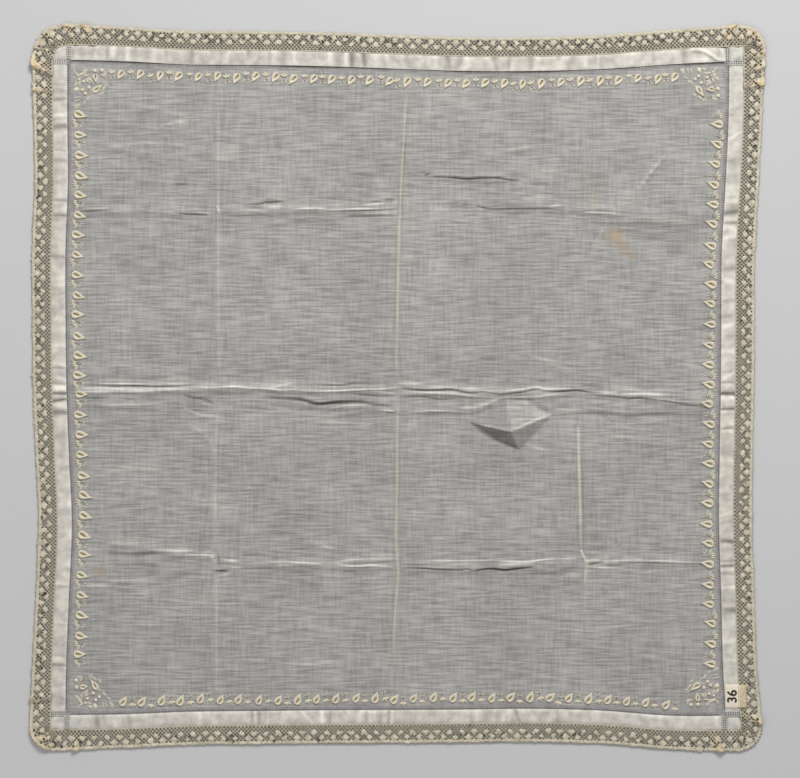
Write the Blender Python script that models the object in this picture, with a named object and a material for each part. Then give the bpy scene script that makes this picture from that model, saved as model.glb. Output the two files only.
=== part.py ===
"""A lady's lace handkerchief, laid out flat.

Three sewn pieces: a sheer square with a turned hem, one strip of net lace round it,
and a short number tape over the right hem. Metres, +Z up, +Y towards the top of the
cloth, with the origin under the middle of the whole thing, on the surface it lies on.
"""

import bisect
import math
from collections import namedtuple

import bmesh
import bpy
import numpy
from mathutils import Vector

MM = 0.001

# Driving sizes
CLOTH_WIDTH = 397.0 * MM
CLOTH_HEIGHT = 393.0 * MM
CLOTH_THICKNESS = 1.0 * MM
HEM_WIDTH = 8.3 * MM
HEM_THICKNESS = 1.6 * MM
HEM_STEP = 0.8 * MM
CORNER_RADIUS = 2.0 * MM
LACE_WIDTH = 10.7 * MM
LACE_CORNER_FLARE = 1.4 * MM
LACE_FLARE_REACH = 26.0 * MM
LACE_THICKNESS = 1.0 * MM
TAPE_WIDTH = 12.3 * MM
TAPE_HEIGHT = 13.8 * MM
TAPE_THICKNESS = 1.0 * MM
TAPE_CENTRE_Y = -177.0 * MM
TAPE_INSET = 0.1 * MM
TAPE_BEND_START = 0.6 * MM
TAPE_BEND_END = 2.0 * MM
GAP = 0.3 * MM

# How finely the sheets are divided
WIDEST_PANEL_STEP = 20.0 * MM
CLOSEST_LINES = 1.6 * MM
RIM_STEP = 1.0 * MM
ARC_STEPS = 6
LACE_STEP = 11.0 * MM
CLOSEST_STATIONS = 0.35 * MM
LACE_ROWS = 3
TAPE_ROWS = 2
HEM_CELLS = 2
SHARP_ANGLE = math.radians(40)

# Where the sheets are divided over a crease, a pleat and a corner, as shares of its reach
CREASE_LINES = (0.0, -0.45, 0.45, -1.0, 1.0)
PLEAT_LINES = (-1.0, -0.45, 0.0, 0.35, 0.65, 1.0)
CORNER_LINES = (-0.8, -0.4, 0.0, 0.4, 0.8)

# How far each sewn edge draws in from the straight, in millimetres, at a share of
# the way along it. Top and bottom run left to right, left and right run downwards.
Waver = namedtuple("Waver", "share top bottom left right")
EDGE_WAVER = (
    Waver(0.0, 0.5, 0.3, 0.6, 0.7),
    Waver(0.1, 1.4, 0.7, 0.6, 1.0),
    Waver(0.2, 3.4, 2.3, 1.0, 2.8),
    Waver(0.3, 3.7, 2.8, -0.4, 5.0),
    Waver(0.4, 4.5, 3.2, -0.3, 5.3),
    Waver(0.5, 5.9, 3.4, 0.2, 5.6),
    Waver(0.6, 7.2, 3.7, 1.7, 6.3),
    Waver(0.7, 7.2, 4.1, 3.4, 6.7),
    Waver(0.8, 5.9, 3.0, 1.8, 5.4),
    Waver(0.9, 3.1, 0.0, 0.1, 4.4),
    Waver(1.0, 1.4, 0.0, -0.5, 2.4),
)

# The creases of the cloth, folded twice each way and laid open again. Each runs
# through three points and is a soft ridge, in millimetres from the middle.
Crease = namedtuple("Crease", "start middle end rise half_width")
LEVEL_CREASES = (
    Crease((-186, -1.0), (-102, -0.4), (0, -0.6), 2.8, 4.5),
    Crease((1, -1.0), (57, -3.6), (106, -2.4), 3.0, 4.5),
    Crease((106, -2.4), (145, -5.0), (184, -8.0), 1.8, 5.0),
    Crease((-78, -6.5), (-45, -10.2), (-5, -10.6), 2.0, 3.8),
    Crease((-182, 100.5), (-145, 100.5), (-106, 98.8), 1.5, 4.0),
    Crease((-98, 101.0), (-50, 102.0), (0, 102.0), 2.0, 4.0),
    Crease((40, 103.5), (95, 102.0), (178, 98.5), 1.8, 4.5),
    Crease((11, 123.0), (35, 119.6), (70, 118.4), 1.6, 3.4),
    Crease((-140, -95.5), (-122, -95.3), (-104, -97.0), 1.6, 4.0),
    Crease((-98, -101.0), (-50, -101.5), (0, -102.0), 1.5, 4.0),
    Crease((1, -103.0), (45, -104.4), (80, -102.0), 2.2, 4.0),
    Crease((80, -102.0), (130, -100.5), (184, -100.5), 1.2, 4.0),
)
UPRIGHT_CREASES = (
    Crease((-103.0, 178), (-103.3, 100), (-103.3, 8), 1.1, 3.2),
    Crease((-103.3, -8), (-105.0, -98), (-104.0, -180), 1.1, 3.2),
    Crease((4.5, 172), (0.5, 90), (-1.5, 4), 1.3, 3.2),
    Crease((-0.8, -6), (-0.8, -100), (-3.0, -178), 1.3, 3.2),
    Crease((103.0, -24), (104.0, -62), (104.5, -114), 1.8, 3.2),
)

# The puckered tent below the middle crease: its crest, and where its four sides land
TENT_CREST = (65.5, -25.8)
TENT_FOOT = ((40.0, -19.5), (65.5, -7.5), (88.0, -15.5), (70.0, -36.0))
TENT_RISE = 4.5
TENT_FLANKS_X = (52.0, 79.0)
TENT_FLANK_Y = -30.8

# The pleats that take up the lace at its corners. Distances are millimetres from the
# corner named, along the side named, where the pleat meets the hem. Slant is how far
# clockwise its outer end leads, and the steep face looks clockwise (1) or back (-1).
Pleat = namedtuple("Pleat", "side corner distance rise width slant faces")
LACE_PLEATS = (
    Pleat("left", "top", 24.6, 1.3, 6.0, 1.5, -1),
    Pleat("left", "top", 16.2, 2.6, 8.0, 6.5, -1),
    Pleat("left", "top", 5.4, 1.2, 5.0, 3.0, -1),
    Pleat("top", "left", 11.8, 1.4, 6.0, -4.0, -1),
    Pleat("top", "left", 20.5, 1.8, 7.0, -4.4, 1),
    Pleat("top", "right", 11.5, 2.2, 8.0, 4.9, 1),
    Pleat("top", "right", 3.7, 1.4, 5.0, 4.0, 1),
    Pleat("right", "top", 7.4, 1.6, 6.0, -3.3, -1),
    Pleat("right", "top", 14.0, 1.6, 6.0, -4.2, 1),
    Pleat("right", "top", 21.0, 2.2, 7.0, -1.2, 1),
    Pleat("right", "bottom", 9.6, 2.2, 7.0, 4.5, 1),
    Pleat("bottom", "right", 19.0, 2.0, 8.0, -6.5, -1),
    Pleat("bottom", "left", 15.0, 1.3, 6.0, 0.5, 1),
    Pleat("bottom", "left", 1.5, 1.5, 5.0, 2.5, -1),
    Pleat("left", "bottom", 16.8, 2.2, 7.0, 0.0, 1),
)
PLEAT_FOOT_SHARE = 0.55
PLEAT_CREST = 0.35
SLANT_REACH = 34.0 * MM

# The sides clockwise, and the corner at which each starts
SIDES = ("top", "right", "bottom", "left")
SIDE_STARTS = ("left", "top", "right", "bottom")


def clear_scene():
    """Removes every object that the file starts with."""
    for existing in list(bpy.data.objects):
        bpy.data.objects.remove(existing, do_unlink=True)


def new_collection(name):
    """Adds a collection of this name to the scene."""
    collection = bpy.data.collections.new(name)
    bpy.context.scene.collection.children.link(collection)
    return collection


def cloth_material(name, color, roughness):
    """A plain fabric finish."""
    material = bpy.data.materials.new(name)
    material.use_nodes = True
    shader = material.node_tree.nodes["Principled BSDF"]
    shader.inputs["Base Color"].default_value = (*color, 1.0)
    shader.inputs["Roughness"].default_value = roughness
    shader.inputs["Metallic"].default_value = 0.0
    return material


def waver(side, share):
    """How far a sewn edge draws in at this share of its length, smoothly between rows."""
    rows = len(EDGE_WAVER) - 1
    place = min(max(share, 0.0), 1.0) * rows
    index = min(int(place), rows - 1)
    t = place - index
    values = [
        getattr(EDGE_WAVER[min(max(index + step, 0), rows)], side) for step in (-1, 0, 1, 2)
    ]
    before, here, after, beyond = values
    curve = (
        2 * here
        + (after - before) * t
        + (2 * before - 5 * here + 4 * after - beyond) * t**2
        + (3 * here - before - 3 * after + beyond) * t**3
    )
    return 0.5 * curve * MM


def on_cloth(across, down):
    """The point of the sheet at these shares of its width and height, from its top left."""
    left = -CLOTH_WIDTH / 2 + waver("left", down)
    right = CLOTH_WIDTH / 2 - waver("right", down)
    top = CLOTH_HEIGHT / 2 - waver("top", across)
    bottom = -CLOTH_HEIGHT / 2 + waver("bottom", across)
    return Vector((left + across * (right - left), top + down * (bottom - top)))


def smooth_bump(distance):
    """One at zero distance, falling smoothly to nothing at a distance of one."""
    if distance >= 1.0:
        return 0.0
    return (1.0 - distance**2) ** 2


def crease_lift(crease, point):
    """Height of one crease over a point in millimetres."""
    stops = [Vector(crease.start), Vector(crease.middle), Vector(crease.end)]
    lengths = [(stops[1] - stops[0]).length, (stops[2] - stops[1]).length]
    best = 0.0
    run = 0.0
    for first, second, length in zip(stops, stops[1:], lengths):
        along = (point - first).dot(second - first) / length**2
        along = min(max(along, 0.0), 1.0)
        foot = first.lerp(second, along)
        share = (run + along * length) / sum(lengths)
        taper = math.sin(math.pi * min(max(share, 0.0), 1.0)) ** 0.6
        bump = smooth_bump((point - foot).length / crease.half_width)
        best = max(best, crease.rise * bump * taper)
        run += length
    return best


def tent_lift(point):
    """Height of the puckered tent, a low pyramid on four unlike sides."""
    crest = Vector(TENT_CREST)
    corners = [Vector(corner) for corner in TENT_FOOT]
    for first, second in zip(corners, corners[1:] + corners[:1]):
        edge_a = first - crest
        edge_b = second - crest
        area = edge_a.cross(edge_b)
        reach = point - crest
        share_a = reach.cross(edge_b) / area
        share_b = edge_a.cross(reach) / area
        if share_a >= -1e-9 and share_b >= -1e-9:
            return TENT_RISE * max(0.0, 1.0 - share_a - share_b)
    return 0.0


def cloth_lift(point):
    """How high the underside of the cloth stands off the surface at a point, in metres."""
    place = point / MM
    lift = max(crease_lift(crease, place) for crease in LEVEL_CREASES + UPRIGHT_CREASES)
    return max(lift, tent_lift(place)) * MM


def grid_lines(size, centres):
    """Shares of a side at which the sheet is divided: hem, creases, and even steps between."""
    half = size / 2
    hem = [0.0, HEM_WIDTH / 2, HEM_WIDTH, HEM_WIDTH + HEM_STEP]
    lines = [half - inset for inset in hem] + [inset - half for inset in hem]
    for centre, reach in centres:
        for share in CREASE_LINES:
            line = centre * MM + share * reach * MM
            if all(abs(line - other) >= CLOSEST_LINES for other in lines):
                lines.append(line)
    lines.sort()
    filled = [lines[0]]
    for line in lines[1:]:
        steps = math.ceil((line - filled[-1]) / WIDEST_PANEL_STEP)
        start = filled[-1]
        filled += [start + (line - start) * step / steps for step in range(1, steps + 1)]
    return [(line + half) / size for line in filled]


def new_sheet(columns, rows):
    """An open grid two units wide and high, and the layer that holds its thickness at each point."""
    sheet = bmesh.new()
    bmesh.ops.create_grid(sheet, x_segments=columns, y_segments=rows, size=1.0)
    thickness = sheet.verts.layers.float.new("thickness")
    return sheet, thickness


def grid_place(vertex, columns, rows):
    """Column and row of a vertex of a grid made two units wide and high."""
    column = round((vertex.co.x + 1.0) / 2.0 * columns)
    row = round((vertex.co.y + 1.0) / 2.0 * rows)
    return column, row


def thickened_object(name, sheet, thickness, material, collection):
    """Closes the sheet with a copy lifted by its thickness, and wraps it as a named object."""
    lifted = bmesh.ops.extrude_face_region(sheet, geom=sheet.faces[:], use_keep_orig=True)
    for element in lifted["geom"]:
        if isinstance(element, bmesh.types.BMVert):
            element.co.z += element[thickness]
    bmesh.ops.recalc_face_normals(sheet, faces=sheet.faces[:])
    mesh = bpy.data.meshes.new(name)
    sheet.to_mesh(mesh)
    sheet.free()
    mesh.materials.append(material)
    mesh.shade_smooth()
    mesh.set_sharp_from_angle(angle=SHARP_ANGLE)
    piece = bpy.data.objects.new(name, mesh)
    collection.objects.link(piece)
    return piece


def build_cloth(collection):
    """The hemmed square: a sheet with its creases, doubled along its four edges."""
    upright = [(crease.middle[0], crease.half_width) for crease in UPRIGHT_CREASES]
    level = [(crease.middle[1], crease.half_width) for crease in LEVEL_CREASES]
    corners = (*TENT_FOOT, TENT_CREST)
    tent_x = (*(corner[0] for corner in corners), *TENT_FLANKS_X)
    tent_y = (*(corner[1] for corner in corners), TENT_FLANK_Y)
    across = grid_lines(CLOTH_WIDTH, upright + [(place, 0.0) for place in tent_x])
    down = grid_lines(CLOTH_HEIGHT, level + [(place, 0.0) for place in tent_y])
    down = [1.0 - share for share in down]
    columns = len(across) - 1
    rows = len(down) - 1

    sheet, thickness = new_sheet(columns, rows)
    for vertex in sheet.verts:
        column, row = grid_place(vertex, columns, rows)
        place = on_cloth(across[column], down[row])
        if column in (0, columns) and row in (0, rows):
            place -= CORNER_RADIUS * (1.0 - math.sqrt(0.5)) * Vector(
                (math.copysign(1.0, place.x), math.copysign(1.0, place.y))
            )
        from_edge = min(column, columns - column, row, rows - row)
        in_hem = from_edge <= HEM_CELLS
        lift = 0.0 if in_hem else cloth_lift(place)
        vertex.co = (place.x, place.y, lift)
        vertex[thickness] = HEM_THICKNESS if in_hem else CLOTH_THICKNESS
    finish = cloth_material("lawn", (0.52, 0.53, 0.54), 0.9)
    return thickened_object("cloth", sheet, thickness, finish, collection)


def corner_arc(side_start, heading):
    """The rounded corner before a side that starts here and faces this way."""
    centre = side_start - CORNER_RADIUS * Vector((math.cos(heading), math.sin(heading)))
    turns = [heading + math.pi / 2 * (1 - step / ARC_STEPS) for step in range(ARC_STEPS)]
    return [centre + CORNER_RADIUS * Vector((math.cos(turn), math.sin(turn))) for turn in turns]


def rim_outline():
    """Points along the sewn edge, clockwise from the middle of the top left corner and back."""
    inset_across = CORNER_RADIUS / CLOTH_WIDTH
    inset_down = CORNER_RADIUS / CLOTH_HEIGHT
    steps = round(CLOTH_WIDTH / RIM_STEP)
    across = [inset_across + (1 - 2 * inset_across) * step / steps for step in range(steps + 1)]
    down = [inset_down + (1 - 2 * inset_down) * step / steps for step in range(steps + 1)]
    sides = (
        [on_cloth(share, 0.0) for share in across],
        [on_cloth(1.0, share) for share in down],
        [on_cloth(share, 1.0) for share in reversed(across)],
        [on_cloth(0.0, share) for share in reversed(down)],
    )
    outline = []
    for turn, side in enumerate(sides):
        outline += corner_arc(side[0], math.pi / 2 * (1 - turn))
        outline += side
    middle = ARC_STEPS // 2
    return outline[middle:] + outline[: middle + 1]


class Rim:
    """The sewn edge as a closed path: its points, how far along each is, and its corners."""

    def __init__(self):
        self.points = rim_outline()
        self.lengths = [0.0]
        for before, after in zip(self.points, self.points[1:]):
            self.lengths.append(self.lengths[-1] + (after - before).length)
        self.total = self.lengths[-1]
        turned = (on_cloth(1.0, 0.0), on_cloth(1.0, 1.0), on_cloth(0.0, 1.0))
        self.corners = [0.0, *(self.nearest(corner) for corner in turned), self.total]

    def nearest(self, place):
        """Distance along the rim of its point nearest to this place."""
        index = min(range(len(self.points)), key=lambda each: (self.points[each] - place).length)
        return self.lengths[index]

    def frame(self, distance):
        """The point this far along the rim, and the direction straight out from it."""
        high = min(max(bisect.bisect_right(self.lengths, distance), 1), len(self.lengths) - 1)
        low = high - 1
        span = max(self.lengths[high] - self.lengths[low], 1e-9)
        share = min(max((distance - self.lengths[low]) / span, 0.0), 1.0)
        point = self.points[low].lerp(self.points[high], share)
        along = self.heading(low).lerp(self.heading(high), share).normalized()
        return point, Vector((-along.y, along.x))

    def heading(self, index):
        """The way the path runs at one of its points, round the join as well."""
        last = len(self.points) - 1
        behind = self.points[index - 1 if index > 0 else last - 1]
        ahead = self.points[index + 1 if index < last else 1]
        return (ahead - behind).normalized()


def pleat_place(rim, pleat):
    """Where a pleat crosses the rim, as a distance along it."""
    index = SIDES.index(pleat.side)
    if pleat.corner == SIDE_STARTS[index]:
        return rim.corners[index] + pleat.distance * MM
    return rim.corners[index + 1] - pleat.distance * MM


def pleat_profile(place):
    """A pleat seen end on: it climbs gently, and drops steeply past its edge."""
    if place <= -1.0 or place >= 1.0:
        return 0.0
    if place < PLEAT_CREST:
        climb = (place + 1.0) / (PLEAT_CREST + 1.0)
        return climb * climb * (3 - 2 * climb)
    drop = (place - PLEAT_CREST) / (1.0 - PLEAT_CREST)
    return (1.0 - drop) ** 2 * (1 + 2 * drop)


def lace_stations(rim, pleats):
    """Distances along the rim of the strip's crosswise rows, closer over the pleats."""
    places = [0.0, rim.total]
    for centre, pleat in pleats:
        half = pleat.faces * pleat.width / 2 * MM
        places += [centre + share * half for share in PLEAT_LINES]
    for mark in rim.corners:
        places += [mark + share * CORNER_RADIUS for share in CORNER_LINES]
    places = sorted(place for place in places if 0.0 <= place <= rim.total)
    spread = [0.0]
    for place in places[1:]:
        if place - spread[-1] < CLOSEST_STATIONS and place < rim.total:
            continue
        start = spread[-1]
        steps = math.ceil((place - start) / LACE_STEP)
        spread += [start + (place - start) * step / steps for step in range(1, steps + 1)]
    return spread


def lean_of(rim, pleats, distance):
    """How far the outer edge leads here: by each pleat's slant, and by nothing past a corner's reach."""
    knots = [(0.0, 0.0), (rim.total, 0.0)]
    knots += [(mark + reach, 0.0) for mark in rim.corners for reach in (-SLANT_REACH, SLANT_REACH)]
    knots += [(centre, pleat.slant * MM) for centre, pleat in pleats]
    places, leans = zip(*sorted(knots))
    return float(numpy.interp(distance, places, leans))


def lace_point(rim, pleats, distance, share):
    """A point of the lace's underside: this far along the rim, this share of its width out."""
    shift = share * lean_of(rim, pleats, distance)
    lift = 0.0
    for centre, pleat in pleats:
        place = pleat.faces * (distance - centre) / (pleat.width / 2 * MM)
        height = pleat.rise * MM * pleat_profile(place)
        lift = max(lift, height * (PLEAT_FOOT_SHARE + (1 - PLEAT_FOOT_SHARE) * share))
    if distance in (0.0, rim.total):
        shift += GAP / 2 if distance == 0.0 else -GAP / 2
    nearest = min(abs(distance - corner) for corner in rim.corners)
    width = LACE_WIDTH + LACE_CORNER_FLARE * math.exp(-((nearest / LACE_FLARE_REACH) ** 2))
    point, out = rim.frame(distance)
    along = Vector((out.y, -out.x))
    place = point + out * (GAP + share * (width - GAP)) + along * shift
    return Vector((place.x, place.y, lift))


def build_lace(collection):
    """The edging: one strip round the hem from its join at the top left corner, pleated."""
    rim = Rim()
    pleats = [(pleat_place(rim, pleat), pleat) for pleat in LACE_PLEATS]
    stations = lace_stations(rim, pleats)
    columns = len(stations) - 1

    strip, thickness = new_sheet(columns, LACE_ROWS)
    for vertex in strip.verts:
        column, row = grid_place(vertex, columns, LACE_ROWS)
        vertex.co = lace_point(rim, pleats, stations[column], row / LACE_ROWS)
        vertex[thickness] = LACE_THICKNESS
    finish = cloth_material("net_lace", (0.62, 0.57, 0.46), 0.85)
    return thickened_object("lace_edging", strip, thickness, finish, collection)


def build_number_tape(collection):
    """The sewn tape: flat on the hem, then stepping down onto the lace beside it."""
    down = 0.5 - TAPE_CENTRE_Y / CLOTH_HEIGHT
    hem_edge = on_cloth(1.0, down).x
    left = hem_edge - HEM_WIDTH + TAPE_INSET
    on_hem = HEM_THICKNESS + GAP
    on_lace = LACE_THICKNESS + GAP
    profile = (
        (0.0, on_hem),
        (HEM_WIDTH * 0.5, on_hem),
        (HEM_WIDTH + TAPE_BEND_START, on_hem),
        (HEM_WIDTH + TAPE_BEND_END, on_lace),
        (TAPE_WIDTH, on_lace),
    )
    columns = len(profile) - 1
    strip, thickness = new_sheet(columns, TAPE_ROWS)
    bottom = TAPE_CENTRE_Y - TAPE_HEIGHT / 2
    for vertex in strip.verts:
        column, row = grid_place(vertex, columns, TAPE_ROWS)
        across, height = profile[column]
        vertex.co = (left + across, bottom + TAPE_HEIGHT * row / TAPE_ROWS, height)
        vertex[thickness] = TAPE_THICKNESS
    finish = cloth_material("tape", (0.78, 0.74, 0.64), 0.85)
    return thickened_object("number_tape", strip, thickness, finish, collection)


def main():
    """Builds the handkerchief's three pieces."""
    clear_scene()
    collection = new_collection("lace_handkerchief")
    build_cloth(collection)
    build_lace(collection)
    build_number_tape(collection)


main()
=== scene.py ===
"""The looks of a lady's lace handkerchief, laid out flat and seen from above.

A sheer lawn square with a drawn-thread line, a turned hem and whitework, edged with
pleated net lace, and a short number tape sewn over the right hem. Tables are in
millimetres from the middle of the cloth, x to the right and y to its top edge.
"""

import logging
import math
from collections.abc import Callable, Sequence
from dataclasses import dataclass, field
from enum import Enum

import bmesh
import bpy
import numpy as np
from mathutils import Matrix, Vector

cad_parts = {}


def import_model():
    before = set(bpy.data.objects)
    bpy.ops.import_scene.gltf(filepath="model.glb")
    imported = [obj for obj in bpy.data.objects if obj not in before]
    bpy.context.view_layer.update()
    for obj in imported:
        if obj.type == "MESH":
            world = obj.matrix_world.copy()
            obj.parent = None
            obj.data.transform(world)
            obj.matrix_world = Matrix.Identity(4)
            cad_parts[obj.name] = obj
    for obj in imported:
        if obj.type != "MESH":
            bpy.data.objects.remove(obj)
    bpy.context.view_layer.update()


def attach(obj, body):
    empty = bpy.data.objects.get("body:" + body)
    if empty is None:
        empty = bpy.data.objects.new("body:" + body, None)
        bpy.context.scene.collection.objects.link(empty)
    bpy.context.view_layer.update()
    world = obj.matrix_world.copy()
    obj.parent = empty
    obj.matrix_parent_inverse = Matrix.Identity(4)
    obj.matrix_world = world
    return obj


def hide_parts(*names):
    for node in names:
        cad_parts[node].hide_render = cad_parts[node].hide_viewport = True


MM = 0.001
BODY = "root"
LOG = logging.getLogger("handkerchief")
Point = tuple[float, float]
Band = tuple[float, float, float]
Colour = tuple[float, float, float, float]
Values = np.ndarray
Pair = tuple[Values, Values]
Shape = bmesh.types.BMesh
Piece = bpy.types.Object
Material = bpy.types.Material


def linear(red: float, green: float, blue: float) -> Colour:
    """Turns a screen colour into the one that a shader takes.

    Args:
        red, green, blue: The colour as seen, each from 0 to 255.

    Returns:
        The linear colour, with full alpha.
    """
    parts = []
    for part in (red, green, blue):
        share = part / 255.0
        parts.append(share / 12.92 if share <= 0.04045 else ((share + 0.055) / 1.055) ** 2.4)
    return (parts[0], parts[1], parts[2], 1.0)


def ease(share: Values) -> Values:
    """A smooth step from nothing at 0 to one at 1."""
    held = np.clip(share, 0.0, 1.0)
    return held * held * (3.0 - 2.0 * held)


def between(before: Values, here: Values, after: Values, beyond: Values, t: Values):
    """A share t of the way from here to after, on a smooth curve through all four."""
    return 0.5 * (
        2 * here
        + (after - before) * t
        + (2 * before - 5 * here + 4 * after - beyond) * t**2
        + (3 * here - before - 3 * after + beyond) * t**3
    )


class Side(Enum):
    """The sides of the cloth. Each value is the turn that brings the left side onto it."""

    LEFT = 0
    TOP = -90
    RIGHT = 180
    BOTTOM = 90

    @property
    def level(self) -> bool:
        """Whether it runs level, as the top and the bottom do."""
        return self in (Side.TOP, Side.BOTTOM)


# Finishes


class Bench:
    """A material being made: it adds shader nodes and joins them up."""

    def __init__(self, name: str) -> None:
        """Starts a material of this name with its Principled shader."""
        self.material = bpy.data.materials.new(name)
        self.material.use_nodes = True
        self.tree = self.material.node_tree
        self.shader = self.tree.nodes["Principled BSDF"]

    def node(self, kind: str, sockets: dict | None = None, **settings: object) -> bpy.types.Node:
        """Adds one node.

        Args:
            kind: The node's type name.
            sockets: A value or an output socket for each input, by name or number.
            settings: The node's own properties.

        Returns:
            The new node.
        """
        made = self.tree.nodes.new(kind)
        for key, value in settings.items():
            setattr(made, key, value)
        for key, value in (sockets or {}).items():
            self.feed(made.inputs[key], value)
        return made

    def feed(self, socket: bpy.types.NodeSocket, value: object) -> None:
        """Gives a socket a value, or joins it to the output that it is given."""
        if isinstance(value, bpy.types.NodeSocket):
            self.tree.links.new(value, socket)
        else:
            socket.default_value = value

    def noise(self, scales: Sequence[float], detail: float = 2.0, shift: float = 0.0):
        """Noise on the object's own coordinates, stretched by a scale for each axis.

        Args:
            scales: Features per metre along x, y and z.
            detail: How many finer layers it has.
            shift: Moves the pattern, so that two layers differ.

        Returns:
            The socket of its value, about 0.5 on average.
        """
        place = self.node("ShaderNodeTexCoord").outputs["Object"]
        moved = self.node(
            "ShaderNodeMapping", {"Vector": place, "Location": (shift, shift, shift), "Scale": scales}
        )
        cloud = self.node(
            "ShaderNodeTexNoise", {"Vector": moved.outputs[0], "Scale": 1.0, "Detail": detail}
        )
        return cloud.outputs["Fac"]

    def spread(self, value: object, low: float, high: float, to_low: float, to_high: float):
        """Maps a value from one range to another and holds it there."""
        ranged = self.node(
            "ShaderNodeMapRange",
            {"Value": value, 1: low, 2: high, 3: to_low, 4: to_high},
        )
        return ranged.outputs[0]

    def sums(self, operation: str, first: object, second: object):
        """One step of arithmetic on two values."""
        return self.node("ShaderNodeMath", {0: first, 1: second}, operation=operation).outputs[0]

    def mix(self, factor: object, first: object, second: object, blend: str = "MIX"):
        """Mixes two colours by a factor."""
        mixed = self.node(
            "ShaderNodeMix", {0: factor, 6: first, 7: second}, data_type="RGBA", blend_type=blend
        )
        return mixed.outputs[2]

    def shaded(self, colour: object, share: object):
        """A colour made darker or paler by a share."""
        return self.mix(1.0, colour, share, "MULTIPLY")

    def toned(self, hollow_shade: Colour, body: Colour, crest: Colour):
        """The colour for a piece's painted tone: painted shade in its hollows, up to its pale crests with
        painted highlight.
        """
        ramp = self.node("ShaderNodeValToRGB", {"Fac": self.painted("tone")})
        ramp.color_ramp.elements[0].color = hollow_shade
        ramp.color_ramp.elements[1].color = crest
        ramp.color_ramp.elements.new(0.5).color = body
        return ramp.outputs[0]

    def painted(self, name: str):
        """The value that a piece's own attribute of this name holds."""
        return self.node("ShaderNodeAttribute", attribute_name=name).outputs["Fac"]

    def relief(self, height: object, distance: float, strength: float = 1.0) -> None:
        """Raises the surface by a height, up to this distance in metres."""
        bump = self.node("ShaderNodeBump", {"Strength": strength, "Distance": distance, "Height": height})
        self.feed(self.shader.inputs["Normal"], bump.outputs[0])

    def finish(self, base: object, roughness: float, **sockets: object) -> Material:
        """Sets the shader's own sockets.

        Args:
            base: The base colour or the socket that gives it.
            roughness: How matt the surface is.
            sockets: More shader inputs, with underscores for the spaces in their names.

        Returns:
            The finished material.
        """
        self.feed(self.shader.inputs["Base Color"], base)
        self.shader.inputs["Roughness"].default_value = roughness
        for name, value in sockets.items():
            self.feed(self.shader.inputs[name.replace("_", " ")], value)
        return self.material


@dataclass(frozen=True)
class Stain:
    """A soft round mark in the lawn: where, how wide, its colour and how strong."""

    x: float
    y: float
    radius: float
    colour: Colour
    strength: float


@dataclass(frozen=True)
class SheerLawn:
    """Fine sheer cotton, grey where the ground shows through and pale where it is folded, with painted
    shade in its hollows and painted highlight on its crests.
    """

    # Painted shade for the hollows of the folds, then the body, then the crests: the doubled cloth's
    # paleness with painted highlight
    hollow_shade: Colour = linear(74, 71, 66)
    body: Colour = linear(157, 155, 151)
    crest: Colour = linear(232, 229, 219)
    soil: Colour = linear(196, 180, 148)
    sheerness: float = 0.9
    cross_share: float = 0.72
    stain_core: float = 0.15
    stains: tuple[Stain, ...] = (
        Stain(124.2, 86.4, 7.0, linear(176, 150, 106), 0.5),
        Stain(128.8, 80.2, 5.6, linear(176, 152, 112), 0.36),
        Stain(133.6, 74.8, 3.4, linear(168, 140, 94), 0.5),
        Stain(-126.2, 19.5, 1.4, linear(128, 74, 44), 0.9),
        Stain(-170.6, -105.2, 4.6, linear(164, 140, 104), 0.4),
        Stain(112.5, 106.8, 5.0, linear(170, 158, 126), 0.3),
        Stain(107.0, 118.0, 11.0, linear(170, 162, 140), 0.16),
        Stain(-109.4, -121.0, 3.0, linear(158, 138, 104), 0.35),
    )

    def make(self) -> Material:
        """Builds the material: slubs both ways, fold tones of painted light and shade, stains and a fine
        weave.
        """
        bench = Bench("sheer_lawn")
        tone = bench.toned(self.hollow_shade, self.body, self.crest)
        across = bench.noise((66.0, 900.0, 1.0), 4.0)
        down = bench.noise((900.0, 80.0, 1.0), 3.0, 7.3)
        cloud = bench.noise((22.0, 34.0, 1.0), 3.0, 3.1)
        crosswise = bench.sums("MULTIPLY", across, self.cross_share)
        lengthwise = bench.sums("MULTIPLY", down, 1.0 - self.cross_share)
        threads = bench.sums("ADD", crosswise, lengthwise)
        slubs = bench.spread(threads, 0.37, 0.63, 0.72, 1.28)
        drift = bench.spread(cloud, 0.3, 0.7, 0.9, 1.1)
        colour = bench.shaded(bench.shaded(tone, slubs), drift)
        colour = bench.mix(bench.painted("soil"), colour, self.soil)
        for stain in self.stains:
            colour = bench.mix(self.mark(bench, stain), colour, stain.colour)
        bench.relief(threads, 0.00012, 0.6)
        return bench.finish(colour, 0.92, Alpha=self.sheerness, Specular_IOR_Level=0.2)

    def mark(self, bench: Bench, stain: Stain):
        """How strongly a stain shows at a point: full in its middle, with a ragged edge."""
        place = bench.node("ShaderNodeTexCoord").outputs["Object"]
        away = bench.node(
            "ShaderNodeVectorMath",
            {0: place, 1: (stain.x * MM, stain.y * MM, 0.0)},
            operation="DISTANCE",
        ).outputs["Value"]
        ragged = bench.spread(bench.noise((420.0, 420.0, 1.0), 2.0), 0.3, 0.7, 0.7, 1.4)
        reach = bench.sums("MULTIPLY", away, ragged)
        edge = stain.radius * MM
        return bench.spread(reach, self.stain_core * edge, edge, stain.strength, 0.0)


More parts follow.
